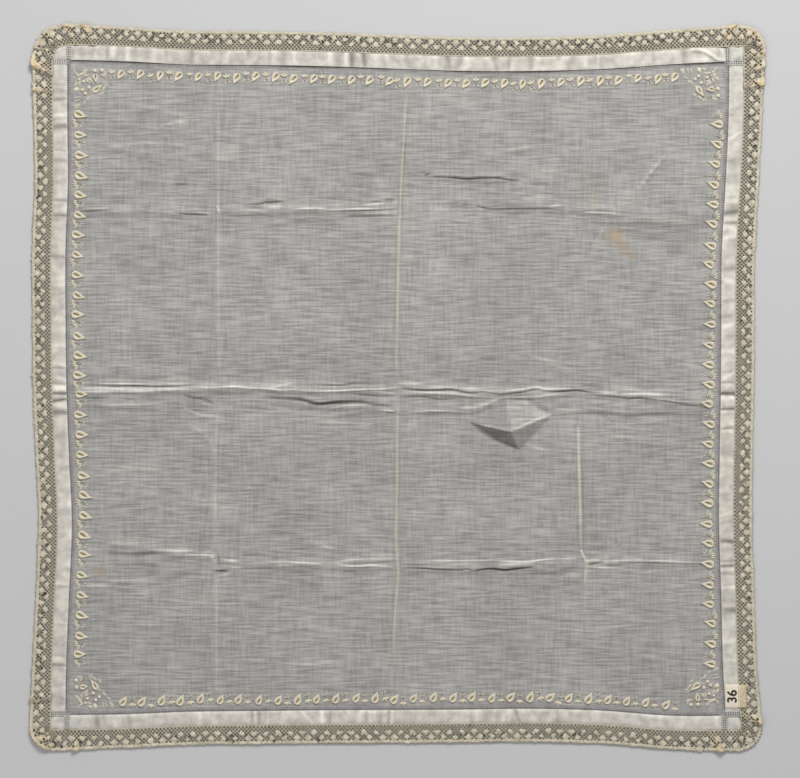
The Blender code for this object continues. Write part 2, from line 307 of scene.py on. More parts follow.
@dataclass(frozen=True)
class DoubledLawn:
    """The hem: the same lawn folded over, so that it is dense and near white."""

    name: str = "doubled_lawn"
    # Painted shade for the wrinkles' hollows, painted highlight with the cloth's paleness for their
    # crests
    hollow_shade: Colour = linear(112, 108, 100)
    body: Colour = linear(192, 188, 179)
    crest: Colour = linear(232, 228, 216)

    def make(self) -> Material:
        """Builds the material, toned by the painted light and shade of its wrinkles and clouded a little.
        """
        bench = Bench(self.name)
        tone = bench.toned(self.hollow_shade, self.body, self.crest)
        cloud = bench.spread(bench.noise((190.0, 190.0, 1.0), 4.0), 0.34, 0.66, 0.82, 1.16)
        weave = bench.noise((900.0, 900.0, 1.0), 2.0, 1.7)
        fine = bench.spread(weave, 0.3, 0.7, 0.97, 1.03)
        colour = bench.shaded(tone, bench.sums("MULTIPLY", cloud, fine))
        bench.relief(weave, 0.00008, 0.5)
        return bench.finish(colour, 0.9, Specular_IOR_Level=0.2)


@dataclass(frozen=True)
class LaceThread:
    """Aged cotton lace thread, yellower where a pleat has doubled and held it."""

    name: str = "lace_thread"
    fresh: Colour = linear(186, 177, 156)
    aged: Colour = linear(208, 188, 150)
    shadow: Colour = linear(146, 137, 116)
    side_shade: float = 0.3

    def make(self) -> Material:
        """Builds the material: clouded cream, with painted shade on its upright sides, and the thread's
        twist.
        """
        bench = Bench(self.name)
        cloud = bench.spread(bench.noise((160.0, 160.0, 1.0), 3.0), 0.35, 0.75, 0.0, 0.55)
        colour = bench.mix(cloud, self.fresh, self.shadow)
        colour = bench.mix(bench.painted("age"), colour, self.aged)
        twist = bench.noise((2600.0, 2600.0, 2600.0), 2.0, 4.4)
        fine = bench.spread(twist, 0.3, 0.7, 0.88, 1.12)
        colour = bench.shaded(colour, fine)
        # Painted shade: the upright sides of the net and the close work are darkened, so the holes and
        # edges read dark
        normal = bench.node("ShaderNodeNewGeometry").outputs["Normal"]
        faces_up = bench.node("ShaderNodeSeparateXYZ", {0: normal}).outputs[2]
        colour = bench.shaded(colour, bench.spread(faces_up, 0.15, 0.6, self.side_shade, 1.0))
        bench.relief(twist, 0.00010, 0.8)
        return bench.finish(colour, 0.88, Specular_IOR_Level=0.2)


@dataclass(frozen=True)
class StitchedThread:
    """A plain thread colour: for whitework, the painted shade in its hollows, the tape, its print and the
    painted shade of its stitches.
    """

    name: str
    colour: Colour
    change: float = 0.06
    grain: float = 1800.0
    clouds: float = 260.0
    sheen: float = 0.15

    def make(self) -> Material:
        """Builds the material: one colour that drifts, with a fine thread grain."""
        bench = Bench(self.name)
        cloud = bench.noise((self.clouds, self.clouds, 1.0), 3.0)
        drift = bench.spread(cloud, 0.3, 0.7, 1.0 - self.change, 1.0 + self.change)
        colour = bench.shaded(self.colour, drift)
        thread = bench.noise((self.grain, self.grain, self.grain), 2.0, 2.2)
        bench.relief(thread, 0.00008, 0.7)
        return bench.finish(colour, 0.8, Sheen_Weight=self.sheen, Specular_IOR_Level=0.25)


@dataclass(frozen=True)
class StudioFloor:
    """The plain pale floor."""

    colour: Colour = linear(186, 186, 186)

    def make(self) -> Material:
        """Builds the material, matt with the least unevenness."""
        bench = Bench("studio_floor")
        cloud = bench.spread(bench.noise((6.0, 6.0, 1.0), 2.0), 0.3, 0.7, 0.99, 1.01)
        return bench.finish(bench.shaded(self.colour, cloud), 0.95)


# The cut and the folds


@dataclass(frozen=True)
class Waver:
    """How far each sewn edge draws in at a share of the way along it."""

    share: float
    top: float
    bottom: float
    left: float
    right: float


EDGE_WAVER = (
    Waver(0.0, 0.5, 0.3, 0.6, 0.7),
    Waver(0.1, 1.4, 0.7, 0.6, 1.0),
    Waver(0.2, 3.4, 2.3, 1.0, 2.8),
    Waver(0.3, 3.7, 2.8, -0.4, 5.0),
    Waver(0.4, 4.5, 3.2, -0.3, 5.3),
    Waver(0.5, 5.9, 3.4, 0.2, 5.6),
    Waver(0.6, 7.2, 3.7, 1.7, 6.3),
    Waver(0.7, 7.2, 4.1, 3.4, 6.7),
    Waver(0.8, 5.9, 3.0, 1.8, 5.4),
    Waver(0.9, 3.1, 0.0, 0.1, 4.4),
    Waver(1.0, 1.4, 0.0, -0.5, 2.4),
)


@dataclass(frozen=True)
class ClothPlan:
    """The cut of the square, with its uneven edges."""

    width: float = 397.0
    height: float = 393.0
    hem: float = 8.3
    drawn: float = 2.2
    corner_radius: float = 2.0
    clip: Point = (1.9, -1.5)
    clip_reach: float = 11.0

    def waver(self, side: str, share: Values) -> Values:
        """How far a side draws in, smoothly between the rows of the table."""
        rows = len(EDGE_WAVER) - 1
        column = np.array([getattr(row, side) for row in EDGE_WAVER])
        place = np.clip(share, 0.0, 1.0) * rows
        index = np.minimum(place.astype(int), rows - 1)
        neighbours = (column[np.clip(index + step, 0, rows)] for step in (-1, 0, 1, 2))
        return between(*neighbours, place - index)

    def place(self, across: Values, down: Values) -> Pair:
        """The points of the cloth at these shares of its width and height, from its top left."""
        left = -self.width / 2 + self.waver("left", down)
        right = self.width / 2 - self.waver("right", down)
        top = self.height / 2 - self.waver("top", across)
        bottom = -self.height / 2 + self.waver("bottom", across)
        clipped = ease(1.0 - across * self.width / self.clip_reach)
        clipped = clipped * ease(1.0 - down * self.height / self.clip_reach)
        x = left + across * (right - left) + self.clip[0] * clipped
        return x, top + down * (bottom - top) + self.clip[1] * clipped

    def spot(self, across: float, down: float) -> Point:
        """One point of the cloth, at these shares of its width and height."""
        x, y = self.place(np.array([across]), np.array([down]))
        return float(x[0]), float(y[0])

    def rounded(self, across: Values, down: Values) -> Pair:
        """The same, with the outer corners of the hem rounded off."""
        radius = self.corner_radius
        from_left = across * self.width
        from_top = down * self.height
        in_x = np.minimum(from_left, self.width - from_left)
        in_y = np.minimum(from_top, self.height - from_top)
        past_x = np.maximum(radius - in_x, 0.0)
        past_y = np.maximum(radius - in_y, 0.0)
        reach = np.hypot(past_x, past_y)
        outside = (past_x > 0) & (past_y > 0) & (reach > radius)
        pull = np.where(outside, radius / np.maximum(reach, 1e-6), 1.0)
        new_x = np.where(past_x > 0, radius - past_x * pull, in_x)
        new_y = np.where(past_y > 0, radius - past_y * pull, in_y)
        new_left = np.where(from_left < self.width / 2, new_x, self.width - new_x)
        new_top = np.where(from_top < self.height / 2, new_y, self.height - new_y)
        return self.place(new_left / self.width, new_top / self.height)


@dataclass(frozen=True)
class Fold:
    """A crease: its path, its rise or fall, how pale it reads (painted highlight and painted shade, with
    the paleness of doubled cloth), its half width and its soil.
    """

    path: tuple[Point, ...]
    rise: float
    tone: float
    half_width: float = 0.8
    soil: float = 0.0


# The creases of the cloth folded twice each way, as its solid has them
MAIN_FOLDS = (
    Fold(((-186, -1), (-102, -0.4), (0, -0.6)), 2.8, 0.06, 4.5),
    Fold(((1, -1), (57, -3.6), (106, -2.4)), 3.0, 0.06, 4.5),
    Fold(((106, -2.4), (145, -5), (184, -8)), 1.8, 0.06, 5.0),
    Fold(((-78, -6.5), (-45, -10.2), (-5, -10.6)), 2.0, 0.0, 3.8),
    Fold(((-182, 100.5), (-145, 100.5), (-106, 98.8)), 1.5, 0.0, 4.0),
    Fold(((-98, 101), (-50, 102), (0, 102)), 2.0, 0.04, 4.0),
    Fold(((40, 103.5), (95, 102), (178, 98.5)), 1.8, 0.0, 4.5),
    Fold(((11, 123), (35, 119.6), (70, 118.4)), 1.6, 0.0, 3.4),
    Fold(((-140, -95.5), (-122, -95.3), (-104, -97)), 1.6, 0.04, 4.0),
    Fold(((-98, -101), (-50, -101.5), (0, -102)), 1.5, 0.04, 4.0),
    Fold(((1, -103), (45, -104.4), (80, -102)), 2.2, 0.0, 4.0),
    Fold(((80, -102), (130, -100.5), (184, -100.5)), 1.2, 0.04, 4.0),
    Fold(((-103, 178), (-103.3, 100), (-103.3, 8)), 1.1, 0.03, 3.2),
    Fold(((-103.3, -8), (-105, -98), (-104, -180)), 1.1, 0.03, 3.2),
    Fold(((4.5, 172), (0.5, 90), (-1.5, 4)), 1.3, 0.0, 3.2),
    Fold(((-0.8, -6), (-0.8, -100), (-3, -178)), 1.3, 0.0, 3.2),
    Fold(((103, -24), (104, -62), (104.5, -114)), 1.8, 0.0, 3.2),
)

# The sharper lines that ride on them, pale where the cloth is pinched and doubled, with painted
# highlight, and painted shade beside it
FINE_FOLDS = (
    # Middle crease, left of the centre
    Fold(((-178, 1.3), (-165, 0.7), (-152, 0.7), (-138, 0.2), (-117, 1)), -0.6, -0.56, 0.75),
    Fold(((-180, 2.3), (-150, 1.8), (-118, 1.8)), 0.2, 0.2, 0.7),
    Fold(((-186, -1.5), (-153, -1.7), (-128, -1.4), (-108, -0.7)), 0.3, 0.34, 2.0),
    Fold(((-184, -2.5), (-165, -3), (-140, -2.6)), 0.2, 0.16),
    Fold(((-112, -0.7), (-96, 0.2), (-84, -0.6), (-73, -1), (-67, -2), (-58, -1.4)), 0.6, 0.44, 0.85),
    Fold(((-60, -1.5), (-53, -2.2), (-43, -2.3), (-32, -2.2), (-19, -1.4), (-9, -1.2), (-1, -0.6)),
         0.6, 0.46, 0.85),
    Fold(((-73, -0.4), (-60, 2.4)), 0.3, 0.2),
    Fold(((-60, 0.9), (-53, 1.2), (-44, 1.4), (-34, 1), (-27, 1.9), (-20, 2.3), (-6, 2.5)),
         -0.4, -0.36, 0.9),
    Fold(((-77, -5.7), (-68, -6.6), (-56, -7), (-49, -9.1), (-45, -9.7), (-40, -9.1), (-34, -8.5),
          (-22, -8.5), (-12, -10.3), (-4, -10.9)), -0.9, -0.5, 1.5),
    Fold(((-62, -7.4), (-54, -7.9), (-47, -10), (-38, -9.4), (-24, -9.2)), -0.3, -0.2, 1.1),
    Fold(((-44, -13.8), (-34, -11.3), (-28, -10.5), (-18, -10.7)), 0.3, 0.22),
    Fold(((-10, -13.4), (-2, -14)), 0.4, 0.32, 0.9),
    Fold(((-8, -14.5), (1, -15.6)), -0.3, -0.24),
    Fold(((-27, -3.8), (-18, -4.7), (-9, -5.3), (-1, -5.5)), -0.4, -0.24, 0.9),
    Fold(((-15, -2.6), (-2, -3.8)), 0.3, 0.26, 1.0),
    Fold(((-44, -18.1), (-24, -16.6), (-8, -15.8)), -0.3, -0.13, 2.4),
    Fold(((-50, -19.9), (-15, -21.2)), 0.2, 0.14, 0.9),
    Fold(((-96, -12.5), (-81, -11.9), (-70, -14)), -0.2, -0.13, 1.0),
    Fold(((-181, -6.6), (-166, -6.4)), -0.3, -0.28),
    Fold(((-161, -6.3), (-149, -7.5)), -0.3, -0.28),
    Fold(((-173, -10.3), (-159, -10), (-147, -10.1), (-131, -9.1)), 0.3, 0.17, 1.0),
    Fold(((-181, -13), (-160, -13.4), (-140, -12)), -0.3, -0.14, 2.6),
    Fold(((-179, 7.1), (-162, 5.5), (-153, 5.2), (-140, 5.2), (-125, 6.8), (-109, 7.4)), -0.3, -0.2, 1.1),
    Fold(((-123, -4.5), (-117, -6.3), (-112, -6.8), (-105, -9.8)), -0.6, -0.42, 1.1),
    Fold(((-113, -9.4), (-106, -10.9)), 0.3, 0.2),
    Fold(((-105, -10.7), (-92, -9.4)), -0.2, -0.16),
    Fold(((-123, -11.9), (-113, -16.2), (-102, -16.8)), 0.3, 0.15, 1.1),
    Fold(((-118, -13.2), (-111, -14.6)), -0.2, -0.12, 1.4),
    # Middle crease, right of the centre
    Fold(((-2, 0.2), (2, -0.8), (13, -1.8), (23, -1.8), (31, -1.6), (38, -3), (43, -3.4), (50, -2.9)),
         -0.7, -0.6),
    Fold(((48, -2.9), (58, -4.3), (67, -3.5), (73, -2.6), (79, -1.4), (84, -2.6)), -0.6, -0.5, 0.75),
    Fold(((82, -2.5), (92, -2.5), (99, -2.1), (104, -2.1), (110, -3.2), (117, -3.4)), -0.7, -0.62),
    Fold(((-1, 2.4), (3, 2), (15, 1.7)), 0.4, 0.34, 0.9),
    Fold(((18, 0.6), (36, -0.4), (56, -2.6)), 0.3, 0.16, 1.2),
    Fold(((57, -3.2), (73, -0.8), (80, -0.2), (86, -1.2), (98, -1)), 0.4, 0.38),
    Fold(((0, -3.2), (11, -3.5), (30, -3.9), (42, -5.3), (59, -6.1)), 0.4, 0.34, 1.3),
    Fold(((58, -6.3), (79, -5.7), (86, -4.7), (98, -4.4)), 0.3, 0.28, 0.9),
    Fold(((0, -5.7), (8, -5.4), (17, -5.8), (25, -7.4), (34, -6.2)), -0.4, -0.28, 1.1),
    Fold(((-1, -13.8), (39, -13.9)), 0.2, 0.14),
    Fold(((-1, -15.9), (20, -15.6), (40, -15.4)), -0.4, -0.22, 1.9),
    Fold(((104, -3), (117, -3.5), (127, -3.9)), 0.3, 0.18, 1.6),
    Fold(((110, -4.7), (117, -5.3), (127, -6), (131, -6.8), (138, -6.4), (145, -7.5), (154, -7.8)),
         -0.4, -0.38),
    Fold(((150, -7.8), (160, -9.4), (167, -10.6), (178, -11.9)), -0.4, -0.3),
    Fold(((127, -3.9), (135, -4.3), (147, -4.4), (162, -4.8)), 0.4, 0.34, 1.0),
    Fold(((144, -6.8), (155, -7.6), (168, -9.1)), 0.3, 0.24, 0.7),
    Fold(((104, 0.1), (109, 0.8), (118, -0.6)), -0.3, -0.24),
    Fold(((133, -1), (160, -2.4)), 0.2, 0.12),
    Fold(((92, -15.8), (111, -15), (118, -15), (132, -16.6), (149, -15.6), (177, -16.8)),
         -0.4, -0.24, 2.0),
    Fold(((90, -13), (106, -13)), 0.3, 0.2),
    Fold(((115, -14.9), (123, -20)), -0.3, -0.18, 0.9),
    # Ridges and shadow of the tent below it
    Fold(((45, -21.2), (55, -23.4), (64.5, -24.8)), 0.3, 0.2, 0.9),
    Fold(((66, -24.4), (77, -19.4), (88, -15.2)), 0.3, 0.2, 1.0),
    Fold(((33, -12.4), (46, -11.4), (56, -7.4), (64, -5.2)), 0.1, 0.13, 1.0),
    Fold(((40, -15.4), (47, -14.2), (54, -11)), -0.1, -0.14, 1.8),
    Fold(((75, -8.6), (81, -11.6), (87, -14.2)), -0.1, -0.2, 1.5),
    Fold(((41, -20.6), (53, -29), (69, -35.8)), -0.3, -0.24, 1.2),
    Fold(((36, -12.6), (48, -10), (60, -6.4)), 0.2, 0.12, 2.0),
    Fold(((74, -6.6), (81, -10), (87, -13.4)), -0.2, -0.14, 0.9),
    Fold(((73, -33.4), (86, -36.8)), 0.2, 0.13, 1.0),
    # Upper crease
    Fold(((-128, 99.9), (-122, 99), (-116, 98.8), (-108, 98.4)), -0.5, -0.52, 0.75),
    Fold(((-116, 99.9), (-107, 99.3)), 0.2, 0.2, 0.7),
    Fold(((-128, 115.6), (-120, 116.3)), -0.2, -0.2, 0.9),
    Fold(((-178, 102), (-165, 102.6)), 0.3, 0.24, 0.9),
    Fold(((-183, 100.6), (-164, 100.8)), -0.3, -0.24, 1.0),
    Fold(((-104, 104), (-102, 99.2)), 0.3, 0.28),
    Fold(((-101, 111), (-100.6, 105)), -0.2, -0.16, 0.7),
    Fold(((-86, 104.6), (-80, 104.7), (-76, 105.7), (-72, 105.7), (-63, 106.8), (-59, 106.6)),
         -0.5, -0.5, 0.75),
    Fold(((-72, 107.3), (-62, 108.1)), 0.3, 0.24),
    Fold(((-92, 101), (-84, 101.2), (-76, 100.1)), 0.3, 0.26),
    Fold(((-76, 102.6), (-66, 103.6)), 0.2, 0.1, 1.6),
    Fold(((-61, 101.4), (-50, 102), (-40, 101.5), (-34, 101)), 0.4, 0.32, 0.9),
    Fold(((-97, 97.6), (-79, 98.2), (-66, 97.9)), -0.2, -0.2, 0.9),
    Fold(((-66, 94.4), (-36, 93.6)), -0.3, -0.12, 3.4),
    Fold(((-25, 105.4), (-16, 105.7), (0, 108.2)), -0.4, -0.32),
    Fold(((-17, 107.6), (0, 109.4)), 0.2, 0.15, 0.9),
    Fold(((-20, 104.2), (-9, 105), (0, 105.9)), 0.4, 0.38, 0.7),
    Fold(((-31, 102.9), (-14, 103.4)), -0.3, -0.22, 0.7),
    Fold(((-41, 101.4), (-28, 101.7), (-15, 102), (-3, 102.6)), 0.4, 0.32, 0.7),
    Fold(((-32, 100.6), (-18, 100.9), (-9, 101.3), (0, 102)), -0.3, -0.32, 0.6),
    Fold(((-31, 97.6), (-12, 97.9), (0, 97.9)), -0.3, -0.32),
    Fold(((-21, 99.3), (0, 99.4)), 0.3, 0.2, 0.7),
    Fold(((-29, 121.9), (-12, 120.6), (-6, 122.4)), -0.2, -0.16, 1.0),
    Fold(((-35, 114.4), (-32, 116.9)), 0.2, 0.16),
    Fold(((-35, 114.2), (-31, 111.9)), 0.2, 0.16),
    Fold(((10, 125), (15, 122.4), (20, 120.6), (27, 120.3), (33, 119.6), (39, 119.1), (45, 119.4),
          (52, 119.8), (58, 119.5), (63, 118.7), (71, 118.2)), -0.8, -0.7, 0.9),
    Fold(((20, 122.4), (40, 121), (60, 121.4)), 0.2, 0.08, 1.2),
    Fold(((36, 105), (43, 104.2), (51, 102), (58, 101.8), (67, 101.9), (76, 101.9), (86, 101.9),
          (94, 101.2)), -0.5, -0.44, 0.75),
    Fold(((48, 104.6), (60, 104), (78, 103.4)), -0.3, -0.2, 2.3),
    Fold(((20, 104.8), (43, 102.9)), -0.3, -0.16, 2.0),
    Fold(((70, 107.6), (79, 108.6), (90, 108.9)), 0.4, 0.3, 1.0),
    Fold(((86, 102.9), (93, 104.2)), 0.2, 0.2),
    Fold(((28, 94.8), (43, 92.9)), -0.2, -0.15, 0.9),
    Fold(((106, 100), (120, 99.4), (129, 98.5)), 0.4, 0.4, 0.75),
    Fold(((98, 98.1), (103, 97.8)), 0.2, 0.22),
    Fold(((124, 97.4), (145, 96.6), (168, 95.2)), 0.3, 0.14, 2.2),
    Fold(((116, 92.8), (130, 93.2), (152, 92.2), (175, 90.6)), -0.4, -0.2, 2.4),
    Fold(((124, 88), (150, 86), (176, 84)), -0.3, -0.1, 6.0),
    Fold(((120, 95.2), (114, 84)), 0.2, 0.15, 0.9),
    Fold(((153, 133.4), (145, 123.6), (137, 113.2)), 0.3, 0.18, 1.1),
    Fold(((154, 131), (148, 124.6), (139, 112.6)), -0.3, -0.14, 1.1),
    Fold(((150, 105.4), (163, 104.1)), -0.3, -0.2, 1.0),
    Fold(((128, 107), (147, 107.4)), 0.2, 0.14),
    # Lower crease
    Fold(((-167, -88.4), (-152, -89.6), (-136, -90)), 0.3, 0.15, 2.6),
    Fold(((-169, -94.4), (-153, -95.9), (-138, -95.3), (-127, -95.9)), -0.4, -0.28, 1.7),
    Fold(((-139, -93.7), (-116, -93.7)), 0.3, 0.3, 0.75),
    Fold(((-122, -96.3), (-107, -96.3)), 0.4, 0.38, 0.75),
    Fold(((-110, -92.4), (-104, -100.4)), 0.3, 0.26),
    Fold(((-103.2, -94), (-102.6, -103.4)), -0.3, -0.26, 0.7),
    Fold(((-105, -105.3), (-97, -105.3)), -0.6, -0.62, 0.75),
    Fold(((-103, -107), (-96, -107)), 0.2, 0.18),
    Fold(((-102, -98.1), (-92, -100.6)), 0.3, 0.26, 1.0),
    Fold(((-135, -107.4), (-112, -106.5)), -0.3, -0.2, 1.5),
    Fold(((-153, -101.8), (-137, -103.1)), -0.3, -0.16, 1.1),
    Fold(((-179, -114.3), (-163, -113.3)), 0.2, 0.16, 0.9),
    Fold(((-166, -110.8), (-137, -111.2)), 0.2, 0.13, 0.9),
    Fold(((-97, -99), (-91, -99.3)), 0.3, 0.3),
    Fold(((-97, -103.5), (-90, -103.7)), 0.3, 0.3),
    Fold(((-74, -100), (-65, -100), (-58, -100.6), (-44, -101.4)), 0.5, 0.42),
    Fold(((-73, -102.7), (-60, -102.7)), 0.2, 0.16, 0.7),
    Fold(((-87, -104), (-72, -104)), -0.3, -0.22),
    Fold(((-66, -106.6), (-48, -107)), -0.3, -0.1, 2.2),
    Fold(((-35, -101.8), (-28, -102.5), (-22, -102.7), (-16, -102.2), (-2, -103.2)), 0.5, 0.4, 0.9),
    Fold(((-35, -100), (-22, -98.7), (0, -98.5)), 0.3, 0.26, 0.7),
    Fold(((-33, -101), (-22, -100.7), (0, -100.4)), -0.3, -0.24, 0.7),
    Fold(((-32, -105.5), (-24, -105.9)), -0.3, -0.22, 1.0),
    Fold(((-29, -108.6), (-9, -109.9)), 0.3, 0.14, 1.9),
    Fold(((-53, -87.6), (-45, -90), (-36, -93.7)), 0.3, 0.15, 1.3),
    Fold(((-89, -96.3), (-71, -96.6)), -0.2, -0.18, 0.9),
    Fold(((-60, -114), (-34, -114.9)), -0.2, -0.13, 1.1),
    Fold(((1, -104), (11, -103.7), (23, -104.5), (36, -104.8), (39, -104.2), (43, -105.3), (48, -104.5)),
         -0.6, -0.5, 0.7),
    Fold(((44, -105.2), (53, -104), (61, -104.8), (67, -104.2), (78, -103.1)), -0.9, -0.7, 0.95),
    Fold(((8, -99.6), (27, -99.6), (55, -99.2)), 0.3, 0.24),
    Fold(((54, -99.6), (73, -100), (86, -98.6), (98, -98.3)), 0.4, 0.36),
    Fold(((56, -101.6), (78, -101.4)), 0.2, 0.14, 1.5),
    Fold(((69, -106.2), (80, -107.1), (97, -106.8)), -0.4, -0.26),
    Fold(((1, -101.7), (18, -101.8)), -0.2, -0.18, 0.9),
    Fold(((32, -102.7), (43, -102.5)), -0.2, -0.22, 0.7),
    Fold(((65, -93.7), (80, -93)), -0.2, -0.16, 0.9),
    Fold(((107, -101.9), (111, -101.3), (117, -100.1)), -0.5, -0.52, 0.75),
    Fold(((108, -99.4), (116, -98.9)), 0.3, 0.26),
    Fold(((117, -101.2), (124, -102.7), (130, -101.2), (142, -100.6), (164, -101.5), (175, -101.8)),
         -0.3, -0.26, 0.95),
    Fold(((117, -99.9), (136, -99.5), (175, -100.4)), 0.3, 0.2),
    Fold(((109, -103.4), (131, -103.8)), 0.3, 0.3),
    Fold(((139, -110.5), (148, -111.4)), -0.2, -0.2, 0.9),
    Fold(((122, -86.5), (128, -92)), -0.3, -0.2, 1.0),
    Fold(((143, -93.5), (155, -93.1), (162, -93.8)), -0.3, -0.2, 0.9),
    Fold(((115, -114), (120, -118.4)), -0.3, -0.2, 1.0),
    Fold(((92, -108.6), (105, -108.5)), 0.2, 0.2),
    Fold(((92, -104), (102, -103.7)), -0.3, -0.26),
    Fold(((92, -98.4), (103, -98.2)), 0.3, 0.28),
    # Upright creases, beige where the cloth has lain folded
    Fold(((-103, 166), (-103.2, 104), (-103.3, 6)), 0.2, 0.07, 1.0),
    Fold(((-104.2, -14), (-104.4, -92)), 0.2, 0.08, 0.9),
    Fold(((-103.2, -14), (-103.4, -92)), -0.2, -0.08),
    Fold(((-104, -108), (-104, -178)), 0.2, 0.07, 1.0),
    Fold(((-3.2, -152.3), (-2.9, -160), (-2.3, -166), (-1.9, -169.8)), -0.15, -0.24, 0.5),
    Fold(((4.9, 174), (2.1, 124), (0.3, 84), (-0.6, 40), (-1.4, 3)), 0.35, 0.12, 1.1, 0.36),
    Fold(((6, 168), (3.2, 124), (1.4, 84)), -0.2, -0.14),
    Fold(((-0.5, -7), (-0.7, -48), (-1.3, -88), (-0.2, -108), (-2.2, -134), (-3, -170)),
         0.35, 0.13, 1.1, 0.38),
    Fold(((0.6, -20), (0.4, -88)), -0.2, -0.08),
    Fold(((-2.5, 0.4), (2.5, -1.2)), 0.5, 0.22, 1.1),
    Fold(((103, -22), (103.4, -48), (104.3, -80), (104.6, -94.6)), 0.6, 0.28, 1.05, 0.42),
    Fold(((104.4, -93), (106, -96.8), (107.7, -100.4)), 0.6, 0.42, 1.0, 0.2),
    Fold(((107.7, -99), (107.2, -107), (107, -113)), 0.4, 0.24, 0.9, 0.5),
    Fold(((105.5, -26), (106, -62), (106.2, -92)), -0.3, -0.12, 0.9),
    # Soft slants over the panels
    Fold(((-121, -20.5), (-108, -30), (-103.5, -46)), 0.3, 0.08, 1.8),
    Fold(((-165, 14), (-140, 10), (-118, 9.6)), 0.3, 0.06, 1.9),
    Fold(((66, 22), (92, 12), (101, 6)), 0.3, 0.07, 1.9),
    Fold(((120, -28), (150, -32), (171, -34)), 0.3, 0.06, 2.2),
    Fold(((116.5, 94.8), (111.5, 84), (107.4, 72.9)), -0.2, -0.08, 1.3),
    Fold(((-178, -52), (-150, -46), (-128, -50)), 0.3, 0.07, 2.0),
    Fold(((-179, 136.4), (-160, 133.6), (-146, 130.4), (-130, 126.2)), -0.3, -0.2, 1.0),
    Fold(((-141, 148), (-127, 151.6), (-113, 153.2)), 0.3, 0.2),
    Fold(((-138, 147.2), (-120, 147.4)), -0.2, -0.14, 0.9),
    Fold(((-166, 137.6), (-150, 139.6), (-135, 139.9)), 0.3, 0.14, 0.9),
    Fold(((-130, 142.4), (-112, 141.4)), -0.2, -0.13, 1.6),
    Fold(((-101.6, 161), (-101.3, 143)), -0.2, -0.13),
    Fold(((143, -156.5), (158, -156.9), (174, -156.3)), -0.2, -0.13, 0.9),
    Fold(((78, -131.8), (92, -133.8), (106, -134.5)), -0.2, -0.14, 0.9),
    Fold(((-95, -146), (-60, -138), (-28, -141)), 0.3, 0.05, 2.0),
    Fold(((22, -148), (58, -140), (98, -150)), 0.3, 0.05, 2.2),
    Fold(((114, -128), (140, -134), (168, -130)), 0.3, 0.06, 2.0),
    Fold(((58, 135.2), (72, 137.2), (88, 137.6)), 0.4, 0.12, 1.5),
)


@dataclass(frozen=True)
class Tent:
    """The puckered tent below the middle crease: a low pyramid on unlike sides, with painted light and
    shade on its faces.
    """

    crest: Point = (64.4, -25.7)
    feet: tuple[Point, ...] = (
        (40.3, -20.1), (61.3, -6.5), (73.0, -6.5), (88.9, -16.0), (69.3, -36.4), (55.2, -29.8)
    )
    rise: float = 3.6
    # Painted light and shade of each face, darkest on the faces turned from the lamp
    tones: tuple[float, ...] = (-0.03, 0.07, 0.08, -0.13, -0.27, -0.33)
    edge_sharpness: float = 14.0

    def lift(self, x: Values, y: Values) -> Pair:
        """The tent's height over these points, and the painted light and shade of its faces."""
        feet = self.feet
        height = np.zeros_like(x)
        tone = np.zeros_like(x)
        reach_x = x - self.crest[0]
        reach_y = y - self.crest[1]
        for first, second, shade in zip(feet, feet[1:] + feet[:1], self.tones):
            ax, ay = first[0] - self.crest[0], first[1] - self.crest[1]
            bx, by = second[0] - self.crest[0], second[1] - self.crest[1]
            area = ax * by - ay * bx
            share_a = (reach_x * by - reach_y * bx) / area
            share_b = (ax * reach_y - ay * reach_x) / area
            rest = 1.0 - share_a - share_b
            inside = (share_a >= -1e-6) & (share_b >= -1e-6) & (rest > 0)
            height = np.where(inside, self.rise * rest, height)
            tone = np.where(inside, shade * np.minimum(rest * self.edge_sharpness, 1.0), tone)
        return height, tone


def smooth_path(path: Sequence[Point], steps: int = 5) -> Values:
    """Rounds a path of a few points off, passing through each of them."""
    points = np.array(path, float)
    if len(points) < 3:
        return points
    ends = np.vstack([2 * points[0] - points[1], points, 2 * points[-1] - points[-2]])
    rounded = [
        between(*four, t)
        for four in zip(ends, ends[1:], ends[2:], ends[3:])
        for t in np.arange(steps) / steps
    ]
    return np.array([*rounded, points[-1]])


def along_path(path: Values, x: Values, y: Values) -> Pair:
    """The distance of each point from a path, and the share of its length where it is nearest."""
    steps = np.diff(path, axis=0)
    lengths = np.hypot(steps[:, 0], steps[:, 1])
    total = lengths.sum()
    nearest = np.full(x.shape, np.inf)
    share = np.zeros(x.shape)
    run = 0.0
    for start, step, length in zip(path, steps, lengths):
        t = ((x - start[0]) * step[0] + (y - start[1]) * step[1]) / max(length**2, 1e-9)
        t = np.clip(t, 0.0, 1.0)
        gap = np.hypot(x - start[0] - t * step[0], y - start[1] - t * step[1])
        closer = gap < nearest
        nearest = np.where(closer, gap, nearest)
        share = np.where(closer, (run + t * length) / total, share)
        run += length
    return nearest, share


